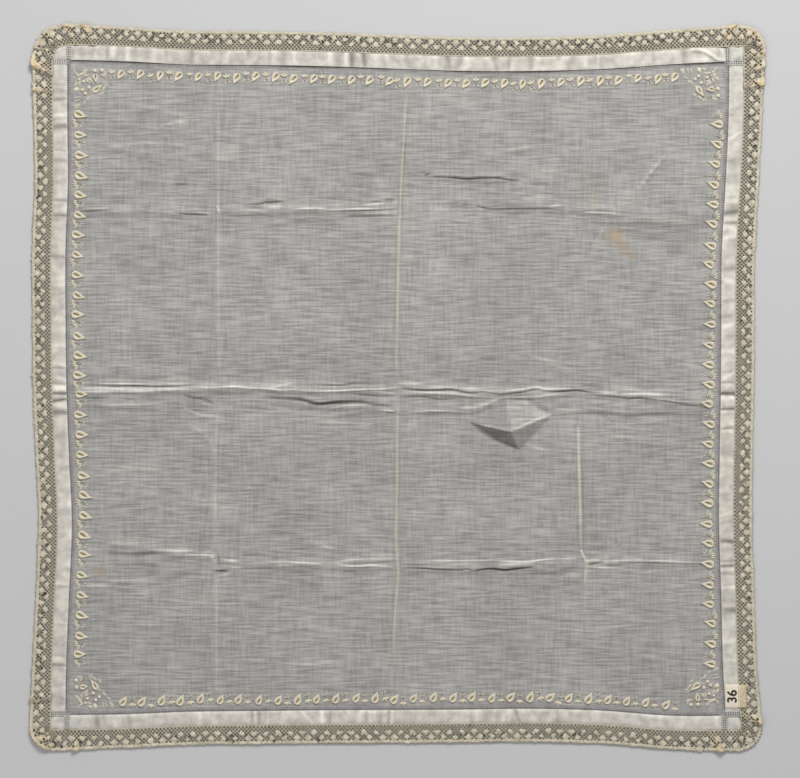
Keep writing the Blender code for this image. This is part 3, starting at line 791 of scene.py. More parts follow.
@dataclass
class Drape:
    """The lie of the lawn: how high it stands and how pale it reads at any point, with painted light and
    shade on its folds.
    """

    base: float = 0.75
    pressed: float = 0.55
    deepest: float = -0.45
    tent: Tent = field(default_factory=Tent)
    wrinkles: int = 420
    seed: int = 42

    def read(self, x: Values, y: Values) -> tuple[Values, Values, Values]:
        """Height, tone (painted light and shade of the folds) and soil of the cloth at these points.

        Args:
            x, y: Points in millimetres.

        Returns:
            Height in millimetres, tone from -0.5 to 0.5, and soil from 0 to 1.
        """
        height, tone = self.tent.lift(x, y)
        soil = np.zeros_like(x)
        for fold in MAIN_FOLDS:
            where, bump = self.bump(fold, x, y)
            height[where] = np.maximum(height[where], self.pressed * fold.rise * bump)
            tone[where] += fold.tone * bump
        for fold in (*FINE_FOLDS, *self.small_wrinkles()):
            where, bump = self.bump(fold, x, y)
            height[where] += fold.rise * bump
            tone[where] += fold.tone * bump
            soil[where] = np.maximum(soil[where], fold.soil * bump)
        return self.base + np.maximum(height, self.deepest), tone, soil

    def bump(self, fold: Fold, x: Values, y: Values) -> Pair:
        """Which points a fold reaches, and its smooth profile there, tapered to its ends."""
        path = smooth_path(fold.path)
        low = path.min(axis=0) - fold.half_width
        high = path.max(axis=0) + fold.half_width
        where = (x > low[0]) & (x < high[0]) & (y > low[1]) & (y < high[1])
        gap, share = along_path(path, x[where], y[where])
        profile = np.maximum(1.0 - (gap / fold.half_width) ** 2, 0.0) ** 2
        taper = np.sin(np.pi * np.clip(share, 0.0, 1.0)) ** 0.5
        return where, profile * taper

    def small_wrinkles(self) -> list[Fold]:
        """Short soft wrinkles all over, most of them running across the cloth, painted paler where they
        rise and darker where they sink.
        """
        dice = np.random.default_rng(self.seed)
        made = []
        for _ in range(self.wrinkles):
            x, y = dice.uniform(-180, 174), dice.uniform(-176, 176)
            level = dice.random() < 0.8
            angle = dice.normal(0.0, 0.16) + (0.0 if level else math.pi / 2)
            reach = dice.uniform(5.0, 22.0) * (1.0 if level else 0.7)
            bow = dice.normal(0.0, 1.0)
            strength = dice.uniform(0.3, 1.0) * dice.choice((-1.0, 1.0))
            along = np.array((math.cos(angle), math.sin(angle)))
            aside = np.array((-along[1], along[0]))
            middle = np.array((x, y)) + aside * bow
            ends = (middle - along * reach, middle, middle + along * reach)
            path = tuple(tuple(place) for place in ends)
            made.append(Fold(path, 0.2 * strength, 0.045 * strength, dice.uniform(1.0, 2.8)))
        return made


# Making meshes


def graded(start: float, end: float, coarse: float, bands: Sequence[Band]) -> Values:
    """Places from start to end, a coarse step apart, and inside each band its own step apart."""
    places = [start]
    while places[-1] < end:
        here = places[-1]
        fine = [step for low, high, step in bands if low <= here <= high]
        places.append(here + min(fine, default=coarse))
    steps = np.array(places)
    return start + (steps - start) * (end - start) / (steps[-1] - start)


def grid_mesh(columns: Values, rows: Values) -> tuple[Shape, Callable]:
    """Starts a grid with the given lines.

    Args:
        columns: The place of each upright line.
        rows: The place of each level line.

    Returns:
        The grid, and a function that moves its points to where a mapping puts (column, row).
    """
    grid = bmesh.new()
    bmesh.ops.create_grid(grid, x_segments=len(columns) - 1, y_segments=len(rows) - 1, size=1.0)

    def spread(mapping: Callable) -> None:
        """Moves every point to mapping(column place, row place), in millimetres."""
        flat = np.array([vertex.co for vertex in grid.verts])
        u = columns[np.rint((flat[:, 0] + 1) / 2 * (len(columns) - 1)).astype(int)]
        v = rows[np.rint((flat[:, 1] + 1) / 2 * (len(rows) - 1)).astype(int)]
        for vertex, place in zip(grid.verts, np.column_stack(mapping(u, v)) * MM):
            vertex.co = place

    return grid, spread


def show(name: str, data: bpy.types.ID) -> Piece:
    """Puts new data into the scene as an object."""
    made = bpy.data.objects.new(name, data)
    bpy.context.scene.collection.objects.link(made)
    return made


def wrap(name: str, shape: Shape, finishes: Sequence[Material]) -> Piece:
    """Makes a finished bmesh an object in the scene, shaded smooth."""
    mesh = bpy.data.meshes.new(name)
    shape.to_mesh(mesh)
    shape.free()
    for finish in finishes:
        mesh.materials.append(finish)
    mesh.shade_smooth()
    return show(name, mesh)


def paint(piece: Piece, name: str, values: Values) -> None:
    """Stores one value a point on a piece, for its material to read."""
    layer = piece.data.attributes.new(name, "FLOAT", "POINT")
    layer.data.foreach_set("value", np.asarray(values, np.float32))


def points_of(piece: Piece) -> Values:
    """The points of a piece, in millimetres."""
    flat = np.empty(len(piece.data.vertices) * 3, np.float32)
    piece.data.vertices.foreach_get("co", flat)
    return flat.reshape(-1, 3).astype(float) / MM


def put_points(piece: Piece, points: Values) -> None:
    """Moves the points of a piece to these places, in millimetres."""
    piece.data.vertices.foreach_set("co", (points * MM).astype(np.float32).ravel())
    piece.data.update()


def thickened(piece: Piece, thickness: float) -> Piece:
    """Gives a sheet its thickness downwards, in millimetres."""
    solidify = piece.modifiers.new("thickness", "SOLIDIFY")
    solidify.thickness = thickness * MM
    solidify.offset = -1.0
    return piece


def face_up(piece: Piece) -> None:
    """Turns a sheet's faces up, where its mapping mirrored them."""
    shape = bmesh.new()
    shape.from_mesh(piece.data)
    shape.normal_update()
    if sum(face.normal.z for face in shape.faces) < 0:
        bmesh.ops.reverse_faces(shape, faces=shape.faces[:])
    shape.to_mesh(piece.data)
    shape.free()


def settle(piece: Piece, slot: str, *nodes: str) -> Piece:
    """Rides a piece on the part, hides the solids it stands for, and logs its triangles."""
    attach(piece, BODY)
    if nodes:
        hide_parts(*nodes)
    graph = bpy.context.evaluated_depsgraph_get()
    shown = piece.evaluated_get(graph).to_mesh()
    shown.calc_loop_triangles()
    LOG.info("%s: %d triangles", piece.name, len(shown.loop_triangles))
    piece.evaluated_get(graph).to_mesh_clear()
    return piece


# The lawn


@dataclass
class LawnPanel:
    """The sheer middle of the cloth, inside its drawn-thread line."""

    plan: ClothPlan
    drape: Drape
    row_step: float = 1.4
    column_step: float = 2.2
    level_bands: tuple[Band, ...] = (
        (-108.0, -92.0, 0.42),
        (-37.0, -16.0, 0.6),
        (-16.0, 3.5, 0.42),
        (97.0, 109.0, 0.42),
        (117.0, 125.5, 0.42),
    )
    upright_bands: tuple[Band, ...] = (
        (-107.0, -102.0, 0.5),
        (-4.0, 6.0, 0.5),
        (38.0, 90.0, 1.0),
        (101.5, 112.0, 0.5),
    )
    under_edge: float = 0.6

    def build(self, finish: SheerLawn) -> Piece:
        """Lays the sheet on its folds.

        Args:
            finish: The lawn's finish.

        Returns:
            The panel.
        """
        inset = self.plan.hem + self.plan.drawn - self.under_edge
        half_width = self.plan.width / 2 - inset
        half_height = self.plan.height / 2 - inset
        columns = graded(-half_width, half_width, self.column_step, self.upright_bands)
        rows = graded(-half_height, half_height, self.row_step, self.level_bands)
        sheet, spread = grid_mesh(columns, rows)

        def mapping(u: Values, v: Values) -> tuple:
            """Where a point of the flat cut lies on the folded cloth."""
            x, y = self.plan.place(u / self.plan.width + 0.5, 0.5 - v / self.plan.height)
            return x, y, self.drape.read(x, y)[0]

        spread(mapping)
        panel = wrap("lawn_panel", sheet, [finish.make()])
        points = points_of(panel)
        _, tone, soil = self.drape.read(points[:, 0], points[:, 1])
        # The tone holds the painted light and shade of the folds; the soil holds their beige marks
        paint(panel, "tone", np.clip(0.5 + tone, 0.0, 1.0))
        paint(panel, "soil", soil)
        return settle(panel, "lawn", "cloth")


@dataclass(frozen=True)
class Wrinkle:
    """A wrinkle across a hem: where along it, its lean, half width, rise and tone, the tone being painted
    light and shade.
    """

    along: float
    lean: float
    half_width: float
    rise: float
    tone: float


# The hem's larger wrinkles, measured from its left or top end
HEM_WRINKLES = {
    Side.LEFT: (
        Wrinkle(23.1, 0.3, 1.0, -0.2, -0.14),
        Wrinkle(31.2, -0.8, 0.8, -0.2, -0.24),
        Wrinkle(40.6, 0.0, 0.7, 0.2, 0.34),
        Wrinkle(43.0, 0.4, 0.7, -0.2, -0.16),
        Wrinkle(47.2, -0.8, 1.7, -0.3, -0.32),
        Wrinkle(60.5, 0.4, 0.7, -0.2, -0.18),
        Wrinkle(66.2, 0.0, 0.7, -0.2, -0.2),
        Wrinkle(89.1, 0.2, 0.7, -0.2, -0.18),
        Wrinkle(95.0, -0.4, 1.2, 0.3, 0.12),
        Wrinkle(97.8, 0.2, 0.8, -0.4, -0.36),
        Wrinkle(185.6, 0.0, 0.7, -0.2, -0.16),
        Wrinkle(190.0, -0.9, 0.8, -0.2, -0.16),
        Wrinkle(194.6, 0.8, 0.9, -0.4, -0.36),
        Wrinkle(197.4, 0.0, 1.9, 0.5, 0.5),
        Wrinkle(199.9, 0.0, 0.8, -0.5, -0.75),
        Wrinkle(202.0, 0.0, 1.0, 0.2, 0.25),
        Wrinkle(204.0, -1.6, 0.8, -0.4, -0.55),
        Wrinkle(206.6, -0.4, 1.5, 0.2, 0.3),
        Wrinkle(210.8, 0.0, 1.9, -0.2, -0.3),
        Wrinkle(355.8, 0.6, 0.8, -0.4, -0.36),
    ),
    Side.TOP: (
        Wrinkle(192.0, 0.5, 1.0, 0.3, 0.14),
    ),
    Side.RIGHT: (
        Wrinkle(92.0, -0.8, 1.4, -0.2, -0.1),
        Wrinkle(101.6, 0.1, 0.7, -0.3, -0.42),
        Wrinkle(104.4, 0.0, 1.6, 0.2, 0.16),
        Wrinkle(155.0, 0.6, 0.9, -0.2, -0.16),
        Wrinkle(165.4, 0.0, 0.7, 0.2, 0.34),
        Wrinkle(187.0, 0.6, 0.8, -0.2, -0.2),
        Wrinkle(189.6, 4.0, 1.2, 0.2, 0.26),
        Wrinkle(193.1, 0.0, 0.8, -0.3, -0.32),
        Wrinkle(199.8, -0.4, 1.0, -0.5, -0.62),
        Wrinkle(202.0, 0.0, 1.5, 0.3, 0.36),
        Wrinkle(208.4, 0.2, 0.6, -0.4, -0.6),
        Wrinkle(210.0, 0.2, 1.0, 0.2, 0.26),
        Wrinkle(219.4, 0.8, 0.7, -0.3, -0.32),
        Wrinkle(295.8, 0.2, 0.7, -0.2, -0.26),
        Wrinkle(298.6, 0.2, 0.8, -0.4, -0.5),
        Wrinkle(300.6, 0.0, 1.0, 0.2, 0.26),
        Wrinkle(303.0, -0.4, 0.7, -0.2, -0.3),
        Wrinkle(309.4, 0.3, 0.8, -0.2, -0.24),
        Wrinkle(311.2, 0.3, 0.8, 0.2, 0.22),
    ),
    Side.BOTTOM: (
        Wrinkle(147.8, -7.0, 1.0, 0.2, 0.34),
        Wrinkle(190.0, 1.2, 1.2, -0.2, -0.14),
        Wrinkle(194.6, 0.4, 0.6, -0.3, -0.3),
        Wrinkle(196.4, 0.4, 0.9, 0.2, 0.22),
    ),
}


@dataclass
class Hem:
    """The turned hem: four doubled bands and the four small blocks where they cross."""

    plan: ClothPlan
    step: float = 0.85
    rows: int = 9
    crown: float = 1.5
    edge: float = 0.85
    seed: int = 7
    margin: float = 12.0
    spacing: float = 3.6
    small_widths: Point = (0.55, 1.9)
    small_rise: float = 0.2
    small_shading: float = 0.11
    overhang: float = 0.35
    dulled: float = 0.1
    flip: tuple[Point, ...] = ((167.0, 193.6), (175.0, 192.2), (183.2, 187.6), (187.0, 187.0))
    flip_reach: float = 1.3

    def build(self, finish: DoubledLawn) -> list[Piece]:
        """Builds the bands and the blocks.

        Args:
            finish: The hem's finish.

        Returns:
            The bands, then the blocks.
        """
        material = finish.make()
        width, height = self.plan.width, self.plan.height
        hem, line = self.plan.hem, self.plan.hem + self.plan.drawn
        across = (line / width, 1 - line / width)
        down = (line / height, 1 - line / height)
        bands = {
            Side.TOP: (across, (0.0, hem / height)),
            Side.BOTTOM: (across, (1.0, 1 - hem / height)),
            Side.LEFT: ((0.0, hem / width), down),
            Side.RIGHT: ((1.0, 1 - hem / width), down),
        }
        pieces = [
            self.band(f"hem_{side.name.lower()}", side, *spans, material)
            for side, spans in bands.items()
        ]
        for index, (end_x, end_y) in enumerate(((0.0, 0.0), (1.0, 0.0), (1.0, 1.0), (0.0, 1.0))):
            span_x = (end_x, abs(end_x - hem / width))
            span_y = (end_y, abs(end_y - hem / height))
            pieces.append(self.block(f"hem_block_{index + 1}", span_x, span_y, material))
        return pieces

    def band(self, name: str, side: Side, span_x: Point, span_y: Point, material: Material) -> Piece:
        """One side's band, wrinkled across."""
        level = side.level
        length = self.plan.width if level else self.plan.height
        along_span, cross_span = (span_x, span_y) if level else (span_y, span_x)
        count = round(abs(along_span[1] - along_span[0]) * length / self.step)
        along = np.linspace(0.0, 1.0, count + 1)
        cross = np.linspace(0.0, 1.0, self.rows + 1)
        sheet, spread = grid_mesh(along, cross)
        tones = {}

        def mapping(t: Values, r: Values) -> tuple:
            """Places the band, r running from its outer edge to its inner one."""
            place = along_span[0] + t * (along_span[1] - along_span[0])
            inward = cross_span[0] + r * (cross_span[1] - cross_span[0])
            if side is Side.TOP:
                inward = inward + self.overhang * ease(2 * r - 1) / self.plan.height
            x, y = self.plan.rounded(*((place, inward) if level else (inward, place)))
            lift, tone = self.wrinkled(side, place * length, r)
            ridge = self.flipped(x, y)
            # Painted highlight along the flipped ridge and painted shadow just below it
            ridge_highlight_and_shadow = 0.42 * ridge - 0.2 * self.flipped(x, y + 1.6)
            tones["tone"] = 0.5 + tone + self.edge_tone(r) + ridge_highlight_and_shadow
            if side is Side.TOP:
                tones["tone"] -= self.dulled * (1.0 - place)
            dome = self.dome(r)
            rolled = self.rolled(side, place * length) * ease((r - 0.7) / 0.3)
            return x, y, self.edge + (self.crown - self.edge) * dome + lift * dome + ridge + rolled

        spread(mapping)
        piece = wrap(name, sheet, [material])
        paint(piece, "tone", np.clip(tones["tone"], 0.0, 1.0))
        face_up(piece)
        return settle(piece, "lawn")

    def wrinkled(self, side: Side, along: Values, r: Values) -> Pair:
        """Lift and painted light and shade of a band's wrinkles, small ones at random and the named ones.
        """
        dice = np.random.default_rng(self.seed + side.value % 360)
        rows = list(HEM_WRINKLES[side])
        place = self.margin
        while place < self.plan.width - self.margin:
            strength = dice.normal(0.0, 1.0)
            lean = dice.normal(0.0, 1.2)
            half_width = dice.uniform(*self.small_widths)
            rise, tone = self.small_rise * strength, self.small_shading * strength
            rows.append(Wrinkle(place, lean, half_width, rise, tone))
            place += dice.exponential(self.spacing)
        lift = np.zeros_like(along)
        tone = np.zeros_like(along)
        for wrinkle in rows:
            away = (along - wrinkle.along - wrinkle.lean * (r - 0.5)) / wrinkle.half_width
            bump = np.exp(-(away**2))
            lift += wrinkle.rise * bump
            tone += wrinkle.tone * bump
        return lift, tone

    def rolled(self, side: Side, along: Values) -> Values:
        """How far the inner edge of a band stands off the lawn: the top one's, unevenly."""
        if side is not Side.TOP:
            return np.full_like(along, 0.15)
        return 0.6 + 0.25 * np.sin(along / 19.0) + 0.15 * np.sin(along / 7.3 + 1.0)

    def dome(self, r: Values) -> Values:
        """How full the doubled cloth stands: level across its middle, round at both edges."""
        return 1.0 - np.abs(2 * r - 1) ** 5

    def edge_tone(self, r: Values) -> Values:
        """Paler along both folded edges, where the cloth is doubled and a painted highlight lies along
        the fold.
        """
        return 0.16 * np.exp(-(((1.0 - r) / 0.09) ** 2)) + 0.07 * np.exp(-((r / 0.09) ** 2))

    def flipped(self, x: Values, y: Values) -> Values:
        """The ridge where the top hem has flipped near its right end."""
        gap, share = along_path(smooth_path(self.flip), x, y)
        taper = np.sin(np.pi * np.clip(share, 0, 1)) ** 0.4
        return np.maximum(1.0 - (gap / self.flip_reach) ** 2, 0.0) ** 2 * taper

    def block(self, name: str, span_x: Point, span_y: Point, material: Material) -> Piece:
        """A small white block at a corner, where the drawn lines cross the hems."""
        shares = np.linspace(0.0, 1.0, self.rows + 1)
        sheet, spread = grid_mesh(shares, shares)
        tones = {}

        def mapping(u: Values, v: Values) -> tuple:
            """Places the block, with its edges turned down."""
            x, y = self.plan.rounded(
                span_x[0] + u * (span_x[1] - span_x[0]), span_y[0] + v * (span_y[1] - span_y[0])
            )
            dome = self.dome(u) * self.dome(v)
            tones["tone"] = 0.5 + 0.6 * self.edge_tone(u) + 0.6 * self.edge_tone(v)
            return x, y, self.edge + (self.crown - self.edge) * dome

        spread(mapping)
        piece = wrap(name, sheet, [material])
        paint(piece, "tone", np.clip(tones["tone"], 0.0, 1.0))
        face_up(piece)
        return settle(piece, "lawn")


@dataclass
class DrawnThreads:
    """The openwork line: threads drawn out along each side, the rest tied in small bars."""

    plan: ClothPlan
    drape: Drape
    bar: float = 0.68
    lift: float = 0.1
    over_hem: float = 0.75
    rows: tuple[float, ...] = (-0.5, 0.2, 0.95, 1.45, 2.05, 2.9)
    open_rows: tuple[int, ...] = (1, 3)
    thickness: float = 0.2

    def build(self, material: Material) -> list[Piece]:
        """Builds the four lines, each running out through the hems it crosses.

        Args:
            material: The finish of the threads.

        Returns:
            The four strips.
        """
        return [self.line(side, material) for side in Side]

    def line(self, side: Side, material: Material) -> Piece:
        """One side's line, from edge to edge of the cloth."""
        level = side.level
        length = self.plan.width if level else self.plan.height
        breadth = self.plan.height if level else self.plan.width
        far = side in (Side.RIGHT, Side.BOTTOM)
        count = 2 * round((length - 1.0) / self.bar / 2) + 1
        along = np.linspace(0.5, length - 0.5, count + 1) / length
        sheet, spread = grid_mesh(along, np.array(self.rows))
        sheet.faces.ensure_lookup_table()
        bars = len(along) - 1
        holes = [
            face
            for face in sheet.faces
            if self.column(face, bars) % 2 == 1 and self.row(face) in self.open_rows
        ]
        bmesh.ops.delete(sheet, geom=holes, context="FACES_ONLY")
        tones = {}

        def mapping(t: Values, r: Values) -> tuple:
            """Places the strip just inside the hem, and up over the hems at its ends."""
            inward = (self.plan.hem + r) / breadth
            inward = 1.0 - inward if far else inward
            x, y = self.plan.rounded(*((t, inward) if level else (inward, t)))
            from_end = np.minimum(t, 1.0 - t) * length
            on_hem = ease((self.plan.hem + 0.6 - from_end) / 0.8)
            ground = self.drape.read(x, y)[0]
            tones["tone"] = 0.5 + 0.3 * on_hem
            sunk = 0.25 * ease((r - 2.05) / 0.85) * (1.0 - on_hem)
            return x, y, ground + self.lift - sunk + self.over_hem * on_hem

        spread(mapping)
        piece = wrap(f"drawn_line_{side.name.lower()}", sheet, [material])
        paint(piece, "tone", tones["tone"])
        face_up(piece)
        return settle(thickened(piece, self.thickness), "lawn")

    def column(self, face: bmesh.types.BMFace, bars: int) -> int:
        """The number of the bar or hole that a face of the flat grid belongs to."""
        return int((face.calc_center_median().x + 1) / 2 * bars)

    def row(self, face: bmesh.types.BMFace) -> int:
        """The row of a face of the flat grid."""
        return int((face.calc_center_median().y + 1) / 2 * (len(self.rows) - 1))


# The lace


@dataclass(frozen=True)
class Pleat:
    """A pleat in the lace: where it meets the hem, its size and slant, and how aged it is."""

    side: str
    corner: str
    distance: float
    rise: float
    width: float
    slant: float
    faces: int
    age: float


LACE_PLEATS = (
    Pleat("left", "top", 24.6, 1.6, 5.0, 1.5, -1, 0.5),
    Pleat("left", "top", 13.6, 2.6, 7.4, 5.4, -1, 1.0),
    Pleat("left", "top", 5.2, 1.2, 4.0, 3.4, -1, 0.4),
    Pleat("top", "left", 1.2, 0.9, 3.0, -1.4, -1, 0.3),
    Pleat("top", "left", 12.0, 1.4, 4.6, -4.6, -1, 0.55),
    Pleat("top", "left", 20.0, 1.8, 6.0, -5.2, 1, 0.85),
    Pleat("top", "right", 11.5, 2.2, 8.0, 4.9, 1, 0.8),
    Pleat("top", "right", 3.7, 1.4, 5.0, 4.0, 1, 0.4),
    Pleat("right", "top", 7.4, 1.6, 6.0, -3.3, -1, 0.6),
    Pleat("right", "top", 14.0, 1.6, 6.0, -4.2, 1, 0.35),
    Pleat("right", "top", 21.0, 2.2, 7.0, -1.2, 1, 0.9),
    Pleat("right", "bottom", 9.6, 2.2, 7.0, 4.5, 1, 0.6),
    Pleat("bottom", "right", 19.0, 2.0, 8.0, -6.5, -1, 0.95),
    Pleat("bottom", "left", 15.0, 1.3, 6.0, 0.5, 1, 0.5),
    Pleat("bottom", "left", 1.5, 1.5, 5.0, 2.5, -1, 0.55),
    Pleat("left", "bottom", 16.8, 2.2, 7.0, 0.0, 1, 0.3),
)


class SewnEdge:
    """The edge of the hem as a closed path, clockwise from the middle of its top left corner."""

    arc_steps: int = 8
    sides: tuple[str, ...] = ("top", "right", "bottom", "left")
    starts: tuple[str, ...] = ("left", "top", "right", "bottom")

    def __init__(self, plan: ClothPlan) -> None:
        """Walks round the cloth and measures the way."""
        radius = plan.corner_radius
        shares = np.linspace(0.0, 1.0, round(plan.width) + 1)
        across = (radius + (plan.width - 2 * radius) * shares) / plan.width
        down = (radius + (plan.height - 2 * radius) * shares) / plan.height
        ones, zeros = np.ones_like(shares), np.zeros_like(shares)
        walks = (
            plan.place(across, zeros),
            plan.place(ones, down),
            plan.place(across[::-1], ones),
            plan.place(zeros, down[::-1]),
        )
        walked = []
        for turn, walk in enumerate(walks):
            heading = math.pi / 2 * (1 - turn)
            start = np.array((walk[0][0], walk[1][0]))
            centre = start - radius * np.array((math.cos(heading), math.sin(heading)))
            for step in range(self.arc_steps):
                angle = heading + math.pi / 2 * (1 - step / self.arc_steps)
                walked.append(centre + radius * np.array((math.cos(angle), math.sin(angle))))
            walked.extend(np.column_stack(walk))
        middle = self.arc_steps // 2
        self.points = np.array(walked[middle:] + walked[: middle + 1])
        steps = np.diff(self.points, axis=0)
        self.lengths = np.concatenate([[0.0], np.cumsum(np.hypot(steps[:, 0], steps[:, 1]))])
        self.total = float(self.lengths[-1])
        ahead = np.vstack([self.points[1:], self.points[1]])
        behind = np.vstack([self.points[-2], self.points[:-1]])
        headings = ahead - behind
        self.headings = headings / np.hypot(headings[:, 0], headings[:, 1])[:, None]
        corners = [plan.spot(across, down) for across, down in ((1, 0), (1, 1), (0, 1))]
        self.corners = [0.0, *(self.nearest(corner) for corner in corners), self.total]

    def nearest(self, corner: Point) -> float:
        """How far along the edge its point nearest to a corner is."""
        gaps = np.hypot(self.points[:, 0] - corner[0], self.points[:, 1] - corner[1])
        return float(self.lengths[gaps.argmin()])

    def frame(self, distance: Values) -> Pair:
        """The points this far along the edge, and the directions straight out from them."""
        inside = np.clip(distance, 0.0, self.total)
        point, along = (
            np.column_stack([np.interp(inside, self.lengths, column) for column in table.T])
            for table in (self.points, self.headings)
        )
        along /= np.hypot(along[:, 0], along[:, 1])[:, None]
        return point, np.column_stack([-along[:, 1], along[:, 0]])

    def pleat_place(self, pleat: Pleat) -> float:
        """Where a pleat meets the edge, as a distance along it."""
        index = self.sides.index(pleat.side)
        if pleat.corner == self.starts[index]:
            return self.corners[index] + pleat.distance
        return self.corners[index + 1] - pleat.distance


@dataclass
class NetLace:
    """The bobbin-style edging: a net ground with two rows of spots and a scalloped edge."""

    edge: SewnEdge
    width: float = 10.7
    corner_flare: float = 1.4
    flare_reach: float = 26.0
    net_rows: int = 5
    thread: float = 0.155
    thread_shake: float = 0.05
    thickness: float = 0.86
    height: float = 0.98
    spot_pitch: float = 7.0
    inner_spots: float = 0.43
    outer_spots: float = 0.70
    spot_length: float = 3.3
    spot_width: float = 2.8
    spot_height: float = 0.06
    ring: float = 1.6
    ring_share: float = 0.6
    arch_top: float = 0.875
    arch_foot: float = 0.79
    foot_share: float = 0.55
    crest: float = 0.6
    measure_share: float = 0.6
    band_holes: float = 0.2
    picot: float = 0.045
    picot_pitch: float = 1.3
    whip_pitch: float = 0.8
    close_lift: float = 0.06
    seed: int = 11

    def __post_init__(self) -> None:
        """Works out how the straight lace is eased round the corners."""
        self.pleats = [(self.edge.pleat_place(pleat), pleat) for pleat in LACE_PLEATS]
        self.rim = np.linspace(0.0, self.edge.total, 6000)
        x, y, _ = self.lay(self.rim, np.full_like(self.rim, self.measure_share))
        steps = np.hypot(np.diff(x), np.diff(y))
        self.run = np.concatenate([[0.0], np.cumsum(steps)])
        self.length = float(self.run[-1])
        self.spots = round(self.length / self.spot_pitch)
        self.pitch = self.length / self.spots

    def lay(self, distance: Values, share: Values) -> tuple[Values, Values, Values]:
        """Lays points of the lace beside the hem.

        Args:
            distance: How far along the hem's edge.
            share: How far out, as a share of the lace's width.

        Returns:
            x, y and the pleats' lift there.
        """
        lift = np.zeros_like(distance)
        for centre, pleat in self.pleats:
            place = pleat.faces * (distance - centre - pleat.slant * share) / (pleat.width / 2)
            height = pleat.rise * self.profile(place)
            lift = np.maximum(lift, height * (self.foot_share + (1 - self.foot_share) * share))
        gaps = [np.abs(distance - corner) for corner in self.edge.corners]
        near = np.minimum.reduce(gaps)
        width = self.width + self.corner_flare * np.exp(-((near / self.flare_reach) ** 2))
        point, out = self.edge.frame(distance)
        place = point + out * (share * width)[:, None]
        return place[:, 0], place[:, 1], lift

    def profile(self, place: Values) -> Values:
        """A pleat seen end on: it climbs gently, and drops steeply past its edge."""
        climb = ease((place + 1.0) / (self.crest + 1.0))
        drop = 1.0 - ease((place - self.crest) / (1.0 - self.crest))
        return np.where(place < self.crest, climb, drop) * (np.abs(place) < 1.0)

    def place(self, u: Values, share: Values, lift: float = 0.0) -> tuple:
        """Where a point of the straight lace lies: u along it, a share of its width out."""
        distance = np.interp(u, self.run, self.rim)
        x, y, pleated = self.lay(distance, share)
        waves = 0.06 * np.sin(u / 9.0) + 0.05 * np.sin(u / 3.7 + 1.0)
        return x, y, self.height + pleated + waves * share + lift

    def age(self, u: Values, share: Values) -> Values:
        """How yellow and doubled the lace is at a point: most on the pleats."""
        distance = np.interp(u, self.run, self.rim)
        aged = np.zeros_like(u)
        for centre, pleat in self.pleats:
            place = pleat.faces * (distance - centre - pleat.slant * share) / (pleat.width / 2)
            on_pleat = ease((place + 0.5) / 0.35) * (1.0 - ease((place - 0.72) / 0.12))
            aged = np.maximum(aged, pleat.age * on_pleat * (0.3 + 0.7 * share))
        return aged

    def arch(self, u: Values) -> Values:
        """The inner line of the outer band, as a share out: an arch over each outer spot."""
        across = (u / self.pitch) % 1.0 * 2.0 - 1.0
        return self.arch_foot + (self.arch_top - self.arch_foot) * np.sqrt(np.maximum(1 - across**2, 0))

    def build(self, thread: LaceThread, solid: LaceThread) -> list[Piece]:
        """Builds the net, the spots, the scalloped band and the footing.

        Args:
            thread: The finish of the net.
            solid: The finish of the close work.

        Returns:
            The net's four lengths first, then the close work.
        """
        net_finish = thread.make()
        solid_finish = solid.make()
        ends = np.interp(self.edge.corners, self.rim, self.run)
        names = ("top", "right", "bottom", "left")
        nets = [
            self.net(f"lace_net_{name}", start, end, net_finish)
            for name, start, end in zip(names, ends, ends[1:])
        ]
        close = [
            self.spot_rows(solid_finish),
            self.band(solid_finish),
            self.footing(solid_finish),
        ]
        return nets + close

    def net(self, name: str, start: float, end: float, material: Material) -> Piece:
        """One length of the net ground: diamonds of thread, open but for its close parts."""
        columns = round((end - start) / (self.width / self.net_rows))
        ground = bmesh.new()
        bmesh.ops.create_grid(ground, x_segments=columns, y_segments=self.net_rows, size=1.0)
        squares = ground.edges[:]
        bmesh.ops.poke(ground, faces=ground.faces[:])
        inner = [edge for edge in squares if len(edge.link_faces) == 2]
        bmesh.ops.dissolve_edges(ground, edges=inner, use_verts=False, use_face_split=False)
        half = Vector(((end - start) / 2, self.width / 2, 1.0))
        bmesh.ops.scale(ground, vec=half, verts=ground.verts[:])
        bmesh.ops.translate(ground, vec=((start + end) / 2, self.width / 2, 0.0), verts=ground.verts[:])
        faces = [face for face in ground.faces if len(face.verts) == 4]
        centres = np.array([face.calc_center_median() for face in faces])
        u, share = centres[:, 0], centres[:, 1] / self.width
        dice = np.random.default_rng(self.seed)
        doubled = self.age(u, share) > 0.5 + 0.4 * dice.random(len(u))
        shut = doubled | (share > self.arch(u) + 0.02) | self.in_spot(u, share)
        wide = self.in_spot(u, share, self.ring) & (share > self.inner_spots)
        open_faces = [face for face, closed in zip(faces, shut) if not closed]
        for ringed, thread in ((True, self.ring_share * self.thread), (False, self.thread)):
            holes = [
                face for face, closed, near in zip(faces, shut, wide) if not closed and near == ringed
            ]
            bmesh.ops.inset_individual(ground, faces=holes, thickness=thread, use_even_offset=True)
        bmesh.ops.delete(ground, geom=open_faces, context="FACES_ONLY")
        for vertex in ground.verts:
            vertex.co.x += dice.normal(0.0, self.thread_shake)
            vertex.co.y += dice.normal(0.0, self.thread_shake)
        net = wrap(name, ground, [material])
        points = points_of(net) * MM
        u, share = points[:, 0], points[:, 1] / self.width
        put_points(net, np.column_stack(self.place(u, share)))
        return self.sewn(net, self.age(u, share), "lace_edging")

    def sewn(self, piece: Piece, age: Values, *nodes: str) -> Piece:
        """Ages a piece of the lace, thickens it and settles it."""
        paint(piece, "age", age)
        face_up(piece)
        return settle(thickened(piece, self.thickness), "net_lace", *nodes)

    def spot_lines(self) -> tuple[Point, Point]:
        """The two staggered rows of spots: how far out each runs, and its start in pitches."""
        return (self.inner_spots, 0.0), (self.outer_spots, 0.5)

